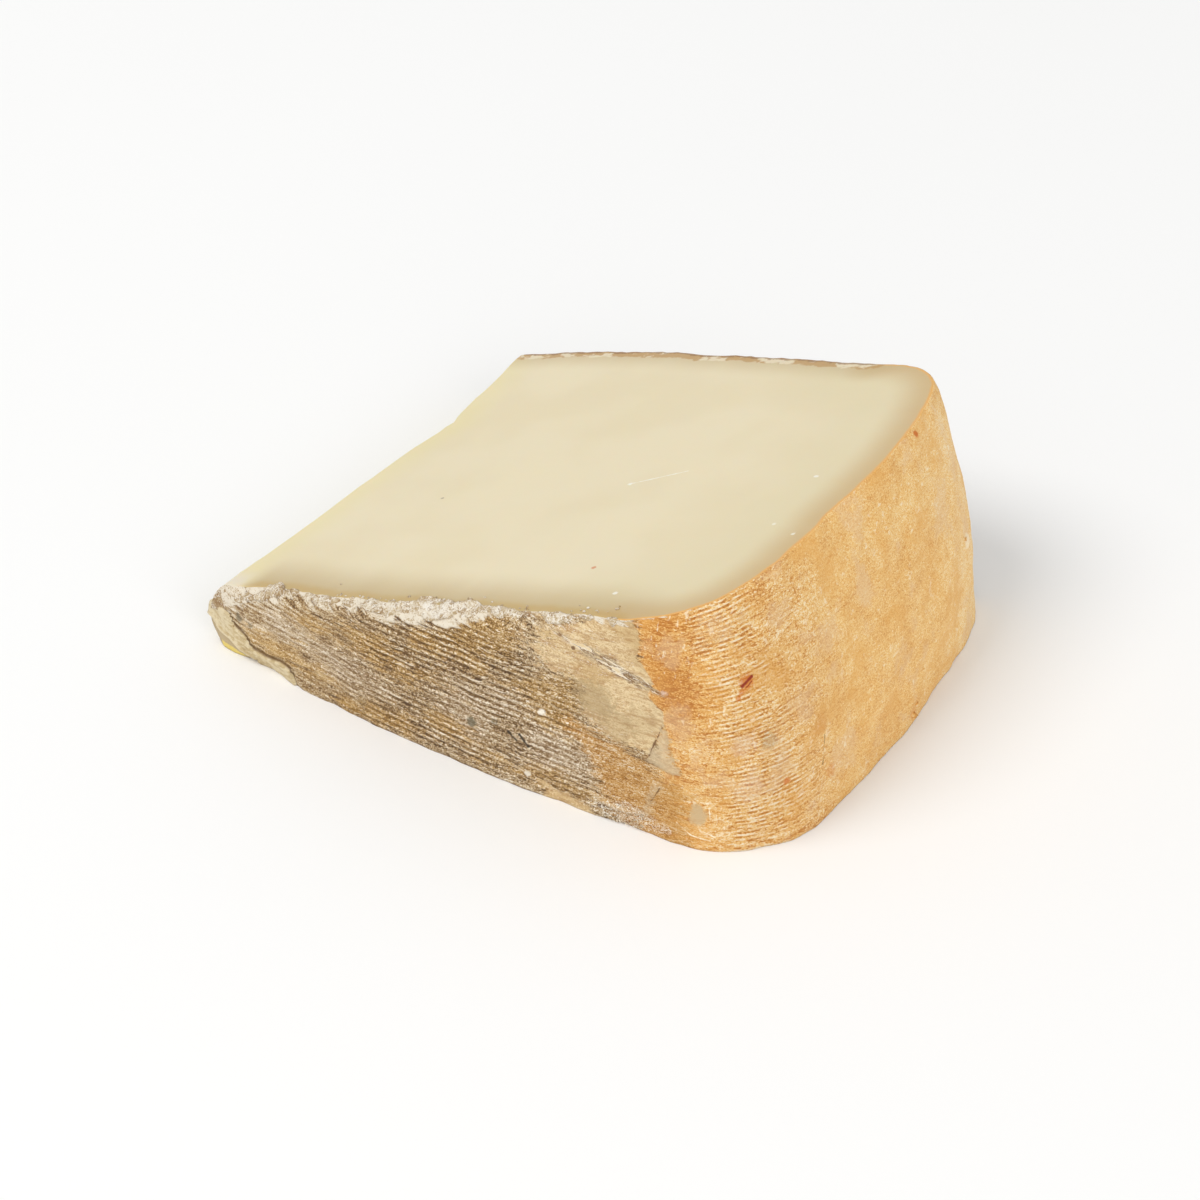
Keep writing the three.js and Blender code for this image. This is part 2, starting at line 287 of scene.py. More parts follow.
# Places of other colours, as ellipses: centre x and z, radius x and z, tilt in degrees
GOLD_PATCHES = (
    (51.5, 16, 6, 2.6, 0), (57.5, 25, 5, 2.6, 0), (42, 20.2, 5, 1.6, 0), (49.5, 3, 6.5, 2.4, 0),
    (36, 2, 4, 1.6, 0), (67, 25.5, 4, 2, 0), (73.5, 33, 4.5, 4, 0), (18, 7.5, 9, 2, 0),
    (31, 17.5, 5, 1.4, 0), (72, 4, 6, 2, 0), (80, 24, 6, 3, 0), (68, 31, 6, 3.5, 0),
    (86, 25, 5, 4, 0), (87, 18.5, 5, 2.5, 0), (84, 5, 7, 2.5, 0), (29, 5, 5, 1.8, 0),
    (62, 7, 4, 2, 0),
)
GREY_PATCHES = ((36, 10, 11, 4.5, 0), (65, 11.5, 5, 6.5, 0), (86, 11, 8, 7.5, 0), (21, 12, 12, 4.8, 18),
                (76, 20, 5, 2.5, 0))
GRANULAR_PATCH = (82, 26, 9, 10, -20)
LOW_CORNER = (107, 6, 9, 8, 0)
FAR_ORANGE_Y = 94.5
ORANGE_EDGE = ((0, 104), (7, 105), (14, 107), (18, 107.4), (22, 107), (26, 105.4), (31, 104.0),
               (36, 101.6), (45, 99.8), (52, 99.5))
CRACK_BAND = ((84.0, 38.4), (90.0, 36.8), (96.0, 35.4), (100.0, 33.8), (106.0, 32.6), (110.0, 31.4))
CRACK_HALF_WIDTH = 1.5
FLAP_TOP = ((0.0, 8.6), (2.5, 8.9), (7.2, 9.2), (8.3, 7.0), (12.0, 5.6), (13.5, 3.6), (16.3, 3.5),
            (20.6, 4.1), (23.2, 3.0), (24.3, 0.5), (26.0, -3.0))
FLAP_FOLD = ((1.2, 5.2), (3.0, 3.9), (5.0, 3.7), (8.0, 3.2), (10.5, 2.1), (13.5, 1.2))
FLAP_FOLD_END = 14.0

# How strong the ridges and the fine grain are along the near face
RIDGE_STRENGTH = ((0, 0.4), (12, 0.45), (30, 0.55), (45, 0.8), (60, 0.95), (72, 0.85), (82, 0.6),
                  (94, 0.35), (102, 0.1))
NEAR_TONE = ((0, 0.09), (24, 0.07), (38, 0.0), (46, -0.05), (72, -0.03), (84, 0.0), (100, 0.0))
GRAIN_STRENGTH = ((0, 0.6), (20, 0.75), (36, 1.0), (50, 1.25), (80, 1.35), (95, 1.15), (106, 0.85))


def inside_patches(x, z, patches):
    """Roughly how many millimetres each point lies inside the nearest of some tilted ellipses"""
    best = np.full(x.shape, -99.0)
    for centre_x, centre_z, radius_x, radius_z, degrees in patches:
        tilt = math.radians(degrees)
        dx = x - centre_x
        dz = z - centre_z
        u = (dx * math.cos(tilt) + dz * math.sin(tilt)) / radius_x
        v = (dz * math.cos(tilt) - dx * math.sin(tilt)) / radius_z
        best = np.maximum(best, (1 - np.hypot(u, v)) * min(radius_x, radius_z))
    return best


def distance_to_line(x, z, points):
    """The distance from each point to a line through some points"""
    best = np.full(x.shape, 99.0)
    for (x0, z0), (x1, z1) in zip(points[:-1], points[1:]):
        run_x, run_z = x1 - x0, z1 - z0
        share = np.clip(((x - x0) * run_x + (z - z0) * run_z) / (run_x**2 + run_z**2), 0, 1)
        best = np.minimum(best, np.hypot(x - x0 - share * run_x, z - z0 - share * run_z))
    return best


def inside_outline(x, z, outline):
    """How many millimetres each point lies inside a closed outline, below 0 outside"""
    closed = outline + outline[:1]
    inside = np.zeros(x.shape, dtype=bool)
    for (x0, z0), (x1, z1) in zip(closed[:-1], closed[1:]):
        if z0 != z1:
            crosses = (z < z0) != (z < z1)
            inside ^= crosses & (x < x0 + (z - z0) * (x1 - x0) / (z1 - z0))
    distance = distance_to_line(x, z, closed)
    return np.where(inside, distance, -distance)


class Surface:
    """The plain surface of the wedge, and the masks and relief that its rind has"""

    def __init__(self):
        stations = wedge_stations()
        self.rises, self.top = level_rises(stations)
        self.plain = plain_points(stations, self.rises)
        self.normals = outward_normals(self.plain)
        self.region = np.broadcast_to(stations[0][:, None], self.rises.shape)
        self.along = np.broadcast_to(stations[1][:, None], self.rises.shape)
        self.x, self.y, self.z = np.moveaxis(self.plain, -1, 0)
        self.depth = self.top * (1 - self.rises)
        self.wobble = rough_noise(self.plain, 9, 3)
        self.masks = {}
        self.find_regions()
        self.find_patches()
        self.find_flap_and_folds()
        self.find_tones()
        self.find_ridges()

    def find_regions(self):
        x, y, z = self.x, self.y, self.z
        near, rim, far = ((self.region == part).astype(float) for part in (NEAR, RIM, FAR))
        self.near_side = near + rim * (1 - smoothstep(y, 4, 10))
        self.rim_side = rim * smoothstep(y, 1.5, 5.5)
        self.far_side = far + rim * smoothstep(y, 92, 98)
        self.past_edge = x - curve(z, ORANGE_EDGE)
        near_corner = np.where((near > 0) | (y < 50), self.past_edge, OUTSIDE) + 1.2 * self.wobble
        far_corner = FAR_ORANGE_Y - y + 2.0 * self.wobble
        orange = np.where((rim > 0) & (y > 50), far_corner, near_corner)
        self.masks["orange"] = np.where(far > 0, OUTSIDE, orange)

    def on_near(self, mask):
        """A mask that holds on the near face and round its corner only"""
        return np.where((self.near_side > 0.05) | ((self.region == RIM) & (self.y < 12)), mask, OUTSIDE)

    def find_patches(self):
        x, z = self.x, self.z
        ragged = 1.1 * rough_noise(self.plain, 5, 11)
        for name, places in (("gold", GOLD_PATCHES), ("grey", GREY_PATCHES)):
            self.masks[name] = self.on_near(inside_patches(x, z, places) + ragged)
        self.wander = 0.3 * rough_noise(self.plain, 2.6, 23)
        patch = inside_outline(x, z, PATCH_OUTLINE) + self.wander
        strip = inside_outline(x, z, FOOT_STRIP_OUTLINE) + self.wander
        crisp = 0.35 + 0.65 * smoothstep(x, 84, 92) + 3 * smoothstep(x, 97, 103)
        self.masks["pale"] = self.on_near(np.maximum(patch * crisp, 2.5 * strip))
        self.pale = smoothstep(np.maximum(patch, strip), -0.5, 0.6)
        self.masks["flake"] = self.on_near(inside_outline(x, z, FLAKE_OUTLINE) + 0.6 * self.wander)
        tawny = inside_outline(x, z, TAWNY_OUTLINE) + 2 * self.wander
        self.masks["tawny"] = self.on_near(np.minimum(tawny, (112 - x) / 2))
        self.granular = smoothstep(inside_patches(x, z, (GRANULAR_PATCH,)), -2, 2)

    def find_flap_and_folds(self):
        x, z = self.x, self.z
        flap = self.on_near(curve(x, FLAP_TOP) + 0.3 * noise(self.plain, 2.2, 21) - z)
        over_fold = z - curve(x, FLAP_FOLD) + 0.25 * noise(self.plain, 1.8, 24)
        fold = np.where((self.region == NEAR) & (x < FLAP_FOLD_END), over_fold, -OUTSIDE)
        self.flap = smoothstep(flap, -0.25, 0.35)
        folds = [distance_to_line(x, z, line) for line in FOLDS]
        folded = self.on_near(0.6 - np.minimum.reduce(folds) + 0.5 * self.wander)
        band = curve(x, CRACK_BAND) + 0.5 * noise(self.plain, 5, 22)
        inside = CRACK_HALF_WIDTH * hump(x, 97, 13) - np.abs(z - band)
        cracked = self.on_near(inside - 0.8 * np.clip(self.y, 0, 9))
        crumbly = self.on_near(np.minimum(z - 0.2, 5.0 - z) - np.abs(x - 100) * 0.35 + 1.0)
        self.masks.update(flap=flap, fold=fold, folded=folded, cracked=cracked, crumbly=crumbly)

    def find_tones(self):
        x, y, rim = self.x, self.y, self.region == RIM
        rim_grain = 0.55 + 0.4 * smoothstep(y, 10, 30)
        self.masks.update(
            deep=hump(self.past_edge, 5.0, 9.0) * smoothstep(self.z, 22, 32),
            # Painted shade: 1 on the near face and the rim's near end, fading out along the rim by y 40
            shade=np.clip(self.near_side + 1 - smoothstep(y, 8, 40), 0, 1),
            grain=np.where(self.region == NEAR, curve(x, GRAIN_STRENGTH), rim_grain),
            tone=self.near_side * curve(x, NEAR_TONE) + 0.16 * rim * smoothstep(y, 55, 95),
            lively=1.0 - 0.72 * smoothstep(y + 4 * self.wobble, 16, 32),
        )

    def find_ridges(self):
        x, y, z, wobble = self.x, self.y, self.z, self.wobble
        shift = 0.35 * noise(self.plain, 24, 5) + 0.16 * noise(self.plain, 7, 6, (1.6, 1, 1))
        shift = shift + 0.22 * noise(self.plain, 2.4, 10, (1.6, 1, 1.2))
        phase = (z + FACE_RIDGE_SLOPE * x + shift) / FACE_RIDGE_PITCH
        self.face_ridges = 0.5 + 0.5 * np.cos(2 * math.pi * phase)
        level = np.arange(self.rises.shape[1])
        shift = 0.22 * noise(self.plain, 7, 8) + 0.12 * noise(self.plain, 2.5, 9)
        rim_wave = 0.5 + 0.5 * np.cos(2 * math.pi * (level / LEVELS_PER_RIM_RIDGE + shift))
        self.rim_ridges = rim_wave**1.4
        broken = 0.6 + 0.55 * rough_noise(self.plain, 5, 7, 3, (2.5, 2.5, 0.6))
        near = smoothstep(x, 4, 12) * (1 - smoothstep(x + 5 * wobble, 90, 106))
        near = near * (1 - 0.9 * np.clip(self.pale + self.flap, 0, 1))
        near = near * self.near_side * curve(x, RIDGE_STRENGTH)
        far = 0.85 * smoothstep(x, 5, 14) * (1 - smoothstep(x + 5 * wobble, 94, 112)) * self.far_side
        self.face_strength = (near + far) * np.clip(broken, 0.15, 1)
        corner = self.rim_side * (1 - smoothstep(y + 3 * wobble, 11, 17))
        beyond = 0.15 * self.rim_side * (1 - smoothstep(y, 30, 60))
        rim = np.maximum(corner * np.clip(broken + 0.2, 0.2, 1), beyond * np.clip(broken, 0.1, 1))
        low_corner = smoothstep(inside_patches(x, z, (LOW_CORNER,)), -1, 3)
        self.rim_strength = np.maximum(rim, 0.6 * low_corner * self.rim_side * (y < 30))
        strength = self.face_strength + self.rim_strength
        mixed = self.face_ridges * self.face_strength + self.rim_ridges * self.rim_strength
        self.masks.update(ridge=mixed / (strength + 1e-6), ridged=np.clip(strength, 0, 1))


def lumps(x, y, z):
    """The low lumps that the solid has too"""
    height = 0
    for octave in range(3):
        turn = 2 * math.pi * 2**octave / LUMP_LENGTH
        wave = np.sin(turn * (x + 0.6 * z) + octave) * np.sin(turn * (y - 0.7 * z) + 2 * octave)
        height = height + (wave + 0.5 * np.sin(turn * (z + 0.3 * x) + 1.7 * octave)) / (octave + 1)
    return LUMP_HEIGHT * height


def foot_relief(surface):
    """How far the foot stands out, fading upwards"""
    near = curve(surface.x, NEAR_FOOT) * np.clip(1 - surface.z / NEAR_FOOT_HEIGHT, 0, 1) ** 2
    rim = curve(surface.y, RIM_FOOT) * np.clip(1 - surface.z / RIM_FOOT_HEIGHT, 0, 1) ** 2
    return np.select([surface.region == NEAR, surface.region == RIM], [near, rim], 0)


def rind_relief(surface):
    """How far the rind stands out of the plain form"""
    points, masks = surface.plain, surface.masks
    out = lumps(surface.x, surface.y, surface.z) + foot_relief(surface)
    out += 0.16 * noise(points, 7, 41) + 0.09 * noise(points, 2.6, 42)
    out += FACE_RIDGE_HEIGHT * surface.face_strength * (surface.face_ridges - 0.5)
    out += RIM_RIDGE_HEIGHT * surface.rim_strength * (surface.rim_ridges - 0.5)
    roughness = 0.045 + 0.16 * surface.granular * surface.near_side
    out += roughness * noise(points, 0.9, 43, (1.4, 1.4, 0.7))
    flap = 0.5 + 0.25 * noise(points, 3.5, 44, (1.6, 1, 1)) + 0.25 * hump(masks["fold"], 0.2, 0.8)
    flap = flap - 0.6 * smoothstep(masks["fold"], 0.1, -0.5)
    crisp = 0.3 + 0.7 * smoothstep(surface.x, 96, 102)
    out += flap * surface.flap - 0.3 * crisp * surface.pale
    out -= 0.35 * hump(masks["flap"], -0.5, 0.7)
    out += 0.15 * crisp * hump(masks["pale"], -0.3, 0.9)
    out += 0.28 * smoothstep(masks["flake"], -0.1, 0.5)
    out += 0.4 * smoothstep(masks["folded"], -0.2, 0.5)
    out += 0.3 * smoothstep(masks["cracked"], -0.5, 1) * noise(points, 1.1, 45, (6, 6, 1))
    angle = np.arctan2(surface.z - AXIS_Z, surface.x - AXIS_X)
    arc = WHEEL_RADIUS * (angle - lower_cut_angle(WHEEL_RADIUS))
    nub = hump(np.hypot(surface.y - NUB_Y, arc - NUB_ARC), 0, NUB_RADIUS)
    return out + NUB_HEIGHT * nub * (surface.region == RIM)


def round_nose_edge(points):
    """Rounds the upright edge between the near face and the nose"""
    x, y = points[..., 0], points[..., 1]
    back = np.clip(1 - (x - NOSE_FOOT_X) / (5 * NOSE_ROUNDING), 0, 1) ** 2
    near = np.clip(1 - y / (2 * NOSE_ROUNDING), 0, 1)
    points[..., 1] += NOSE_ROUNDING * back * near
    return points


def nose_relief(surface):
    """The broken paste of the nose"""
    return 0.45 * rough_noise(surface.plain, 9, 51, 4) + 0.06 * noise(surface.plain, 0.9, 52)


# The crumbled fringe

CRUST_BELOW = ((0.0, 5.6), (4.0, 5.4), (10.0, 5.4), (13.4, 3.6), (19.2, 2.0), (25.7, 1.2), (30.8, 1.5),
               (38.0, 1.6), (45.3, 2.2), (48.6, 2.4), (52.5, 1.6), (57.2, 2.4), (64.0, 1.6), (71.4, 0.2),
               (78.0, 0.5), (83.0, 0.6), (88.0, 0.5), (97.0, 0.4), (101.0, 0.0))
CRUST_TIP = ((0.0, 10.2), (3.0, 9.9), (6.0, 9.7), (8.0, 10.2), (10.0, 11.5), (12.0, 12.6), (14.0, 70.0))
CRUST_ABOVE = ((0.0, 0.4), (10.0, 0.6), (15.0, 1.4), (18.0, 3.2), (24.0, 3.3), (30.0, 2.6), (40.0, 2.7),
               (50.0, 4.2), (55.0, 5.6), (60.0, 4.4), (66.0, 4.9), (70.0, 3.9), (75.0, 3.4), (80.0, 2.6),
               (92.0, 2.2), (98.0, 0.9), (101.0, 0.2))
CRUST_FLAKES = ((21.0, 4.0, 0.55), (52.0, 5.0, 0.4), (65.0, 4.0, 0.5), (75.0, 3.0, 0.4), (91.0, 3.0, 0.3))


def face_inset(base, along):
    """How far a flat face's upper edge is crumbled back: less at the nose and at the rim"""
    from_nose = smoothstep(along, 0, FRINGE_RUN_IN)
    to_rim = smoothstep(along, 1 - FRINGE_RUN_IN, 1)
    return (NOSE_INSET + (base - NOSE_INSET) * from_nose) * (1 - to_rim) + RIM_INSET * to_rim


def uneven(edge):
    """How much more or less than usual the edge is crumbled back at each of its points"""
    return 1 + 0.3 * rough_noise(edge, 6, 61, 2)


def by_region(surface, near, far, rim, nose):
    region = surface.region
    return np.select([region == NEAR, region == FAR, region == RIM], [near, far, rim], nose)


def flattened(vectors):
    """Vectors turned level, each of length 1"""
    level = vectors.copy()
    level[..., 2] = 0
    return level / np.linalg.norm(level, axis=-1, keepdims=True)


def add_fringe(surface, points):
    """Crumbles the upper edge back"""
    near, far = (face_inset(base, surface.along) for base in (NEAR_INSET, FAR_INSET))
    edge = np.broadcast_to(surface.plain[:, -1:, :], points.shape)
    inset = by_region(surface, near, far, RIM_INSET, NOSE_INSET) * uneven(edge)
    share = np.clip(1 - surface.depth / FRINGE_DROP, 0, 1) ** FRINGE_CURVE
    level = flattened(surface.normals)
    points = points - level * (inset * share)[..., None]
    shown = smoothstep(surface.depth, 3.0, 1.5) * smoothstep(surface.depth, 0, 0.4)
    crumbs = rough_noise(points, 2.6, 64, 2) * shown * np.clip(inset / NEAR_INSET, 0.2, 1)
    return points + level * (0.22 * crumbs)[..., None]


def fringe_white(surface):
    """How far inside the whitened rind each point is, in millimetres"""
    x, y = surface.x, surface.y
    near = np.maximum(curve(x, CRUST_BELOW), surface.top - curve(x, CRUST_TIP))
    far = 0.4 + 3.0 * noise(surface.plain, 9, 73)
    reach = by_region(surface, near, far, 0.8 - 0.25 * y, 5.8 - 0.3 * y)
    white = reach + 0.9 * rough_noise(surface.plain, 3.5, 71, 3, (1.6, 1, 1)) - surface.depth
    return np.where(surface.masks["flap"] > 0, OUTSIDE, white)


# The white crust that lies over the near edge of the upper cut

CRUST_COLUMNS = 600
CRUST_ROWS = 64
CRUST_REACH_DOWN = 7.6
CRUST_REACH_IN = 7.4
CRUST_BEND = 0.7
CRUST_FOOT_DEPTH = 2.4
CRUST_START = 0.006
CRUST_END = 0.996
CRUST_SINK = 0.62
CUT_UP = np.array([-math.sin(CUT_ANGLE), 0, math.cos(CUT_ANGLE)])


def crust_path():
    """The ground under the crust: up the near face, over its crumbled edge and onto the upper cut"""
    along = np.linspace(CRUST_START, CRUST_END, CRUST_COLUMNS)[:, None]
    across = np.linspace(-CRUST_REACH_DOWN, CRUST_REACH_IN, CRUST_ROWS)[None, :]
    bend = np.sqrt(across**2 + CRUST_BEND**2)
    down = (bend - across) / 2
    edge = face_points(NEAR_SIDE, along, np.ones_like(along))
    ground = face_points(NEAR_SIDE, along, 1 - down / edge[..., 2])
    inset = face_inset(NEAR_INSET, along) * uneven(edge)
    crumbled = inset * np.clip(1 - down / FRINGE_DROP, 0, 1) ** FRINGE_CURVE
    inward = crumbled + (bend + across) / 2 * (1 - inset / CRUST_REACH_IN)
    run = np.gradient(edge[:, 0], axis=0)
    level = flattened(np.stack([run[:, 1], -run[:, 0], run[:, 2]], axis=-1))
    level = np.broadcast_to(level[:, None, :], ground.shape)
    step = -level * inward[..., None]
    step[..., 2] = step[..., 0] * math.tan(CUT_ANGLE)
    share = smoothstep(across, -FRINGE_DROP, 1.0)[..., None]
    outward = level * (1 - share) + CUT_UP * share
    outward = outward / np.linalg.norm(outward, axis=-1, keepdims=True)
    lump = lumps(*np.moveaxis(ground, -1, 0))[..., None]
    return ground + level * lump * (1 - share) + step, outward, level, down, inward


def crust_height(ground, down, inward):
    """How far the crust stands above its ground, and how far inside its outline each point lies"""
    x = ground[..., 0]
    ragged = 0.7 * rough_noise(ground, 3.6, 65, 4) + 0.4 * noise(ground, 1.5, 70)
    below = curve(x, CRUST_BELOW) * 0.8 + 0.7 * smoothstep(x, 62.0, 72.0) - down
    above = curve(x, CRUST_ABOVE) - inward
    inside = np.minimum(below, above) + ragged
    end = smoothstep(x, 3.0, 6.0) * (1 - smoothstep(x, 99.0, 102.0))
    inside = inside - 3 * (1 - end)
    plates = smoothstep(noise(ground, 2.4, 66, (1.5, 1.5, 1.5)), -0.25, 0.0)
    plates = plates + 0.8 * smoothstep(noise(ground, 1.5, 67, (1.3, 1.3, 1.3)), 0.05, 0.2)
    lift = 0.38 * plates + 0.22 * noise(ground, 0.9, 68) + 0.1 * noise(ground, 0.45, 69)
    for centre, half_width, height in CRUST_FLAKES:
        near_top = hump(above, 0.8, 1.3) * hump(x, centre, half_width)
        lift = lift + height * near_top * (0.6 + 0.5 * plates)
    thin = 1 - 0.35 * smoothstep(x, 66.0, 76.0)
    rise = 0.72 * smoothstep(inside, -0.35, 0.5) + thin * lift * smoothstep(inside, -0.2, 0.6)
    return rise - CRUST_SINK, inside


def crust_object(material):
    ground, outward, level, down, inward = crust_path()
    height, inside = crust_height(ground, down, inward)
    outer = ground + outward * height[..., None]
    lowest = ground[:, :1] - level[:, :1] * CRUST_FOOT_DEPTH
    highest = ground[:, -1:] - CUT_UP * CRUST_FOOT_DEPTH
    loops = np.concatenate([outer, highest, lowest], axis=1)
    index = np.arange(loops[..., 0].size).reshape(loops.shape[:2])
    around = np.roll(index, -1, axis=1)
    quads = np.stack([index[:-1], index[1:], around[1:], around[:-1]], axis=-1)
    faces = quads.reshape(-1, 4).tolist() + [index[0].tolist(), index[-1, ::-1].tolist()]
    hidden = np.full((CRUST_COLUMNS, 2), OUTSIDE)
    values = {"inside": np.concatenate([inside, hidden], axis=1).reshape(-1)}
    attach(build_object("white_crust", loops.reshape(-1, 3), faces, [material], values=values))


# The cuts

CUT_STEPS = (0.012, 0.03, 0.055, 0.09, 0.14, 0.2, 0.28, 0.38, 0.5, 0.64, 0.8, 0.94)
CORE_LOW = (28.0, 34.0)
CORE_HIGH = (86.0, 66.0)
DISTANCE_BATCH = 500


def upper_cut_height(x):
    return NOSE_TOP_Z + (x - NOSE_TOP_X) * math.tan(CUT_ANGLE)


def upper_cut_rings(edge):
    """Rings of points from the upper cut's edge towards its core, uneven where the knife went through"""
    core = np.clip(edge[:, :2], CORE_LOW, CORE_HIGH)
    rings = []
    for step in CUT_STEPS:
        flat = edge[:, :2] + (core - edge[:, :2]) * step
        ring = np.column_stack([flat, upper_cut_height(flat[:, 0])])
        drop = np.minimum(np.linalg.norm(flat - edge[:, :2], axis=1) / 3, 1)
        ring[:, 2] += drop * (0.10 * noise(ring, 22, 81) + 0.04 * noise(ring, 7, 82, (3, 1, 1)))
        rings.append(ring)
    return rings


def distance_to_edge(flat, edge):
    """The distance from each point to the nearest point of an edge"""
    result = np.empty(len(flat))
    for start in range(0, len(flat), DISTANCE_BATCH):
        batch = slice(start, start + DISTANCE_BATCH)
        gap = flat[batch, None, :] - edge[None, :, :2]
        result[batch] = np.sqrt((gap**2).sum(axis=-1)).min(axis=1)
    return result


def cut_distances(region, points, vertices):
    """For the paste: how far each point is from the edges of the upper cut"""
    side_count = points[..., 0].size
    index = np.arange(side_count).reshape(points.shape[:2])
    shown = np.concatenate([index[region == NOSE].reshape(-1), index[:, -1], index[0],
                            np.arange(side_count, len(vertices))])
    values = {}
    for name, part in (("to_near", NEAR), ("to_rim", RIM), ("to_far", FAR), ("to_nose", NOSE)):
        values[name] = np.zeros(len(vertices))
        values[name][shown] = distance_to_edge(vertices[shown, :2], points[region == part, -1])
    return values


# Putting the mesh together

def wedge_mesh():
    """The wedge's vertices and faces, which of the faces are paste, and a value of each mask per vertex"""
    surface = Surface()
    nose = surface.region == NOSE
    relief = np.where(nose, nose_relief(surface), rind_relief(surface))
    points = round_nose_edge(surface.plain + surface.normals * relief[..., None])
    points = add_fringe(surface, points)
    points[:, 0, 2] = 0
    points[..., 2] = np.maximum(points[..., 2], 0)
    points[:, -1, 2] = upper_cut_height(points[:, -1, 0])
    columns, levels = nose.shape
    vertices = np.concatenate([points.reshape(-1, 3), *upper_cut_rings(points[:, -1])])

    index = np.arange(columns * levels).reshape(columns, levels)
    beside = np.roll(index, -1, axis=0)
    side = np.stack([index[:, :-1], beside[:, :-1], beside[:, 1:], index[:, 1:]], axis=-1).reshape(-1, 4)
    inner = np.arange(columns * levels, len(vertices)).reshape(-1, columns)
    rings = np.concatenate([index[None, :, -1], inner])
    around = np.roll(rings, -1, axis=1)
    cut = np.stack([rings[:-1], around[:-1], around[1:], rings[1:]], axis=-1).reshape(-1, 4)
    faces = side.tolist() + cut.tolist() + [rings[-1].tolist(), index[::-1, 0].tolist()]
    side_is_paste = np.repeat(nose[:, 0], levels - 1)
    paste = np.concatenate([side_is_paste, np.ones(len(faces) - len(side), dtype=bool)])

    masks = {**surface.masks, "white": fringe_white(surface)}
    rest = np.zeros(len(vertices) - columns * levels)
    values = {name: np.concatenate([mask.reshape(-1), rest]) for name, mask in masks.items()}
    values.update(cut_distances(surface.region[:, 0], points, vertices))
    return vertices, faces, paste, values


def to_row(points):
    return (np.asarray(points) - ROW_ORIGIN) * MM


def add_object(name, data):
    made = bpy.data.objects.new(name, data)
    bpy.context.scene.collection.objects.link(made)
    return made


def build_object(name, vertices, faces, materials, slots=None, values=None):
    mesh = bpy.data.meshes.new(name)
    mesh.from_pydata(to_row(vertices).tolist(), [], faces)
    for material in materials:
        mesh.materials.append(material)
    if slots is not None:
        mesh.polygons.foreach_set("material_index", np.asarray(slots, dtype=np.int32))
    mesh.polygons.foreach_set("use_smooth", np.ones(len(mesh.polygons), dtype=bool))
    for key, value in (values or {}).items():
        attribute = mesh.attributes.new(key, "FLOAT", "POINT")
        attribute.data.foreach_set("value", np.asarray(value, dtype=np.float32))
    mesh.update()
    return add_object(name, mesh)


def attach(piece):
    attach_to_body(piece, "root")


# Node materials

def colour(red, green, blue):
    """A colour given as it is seen, from 0 to 255, in the shader's own light values"""
    def light(channel):
        share = channel / 255
        return share / 12.92 if share <= 0.04045 else ((share + 0.055) / 1.055) ** 2.4
    return (light(red), light(green), light(blue), 1.0)


def stops(*shades):
    """The stops of a colour ramp: a position, red, green and blue each"""
    return [(position, colour(*tint)) for position, *tint in shades]


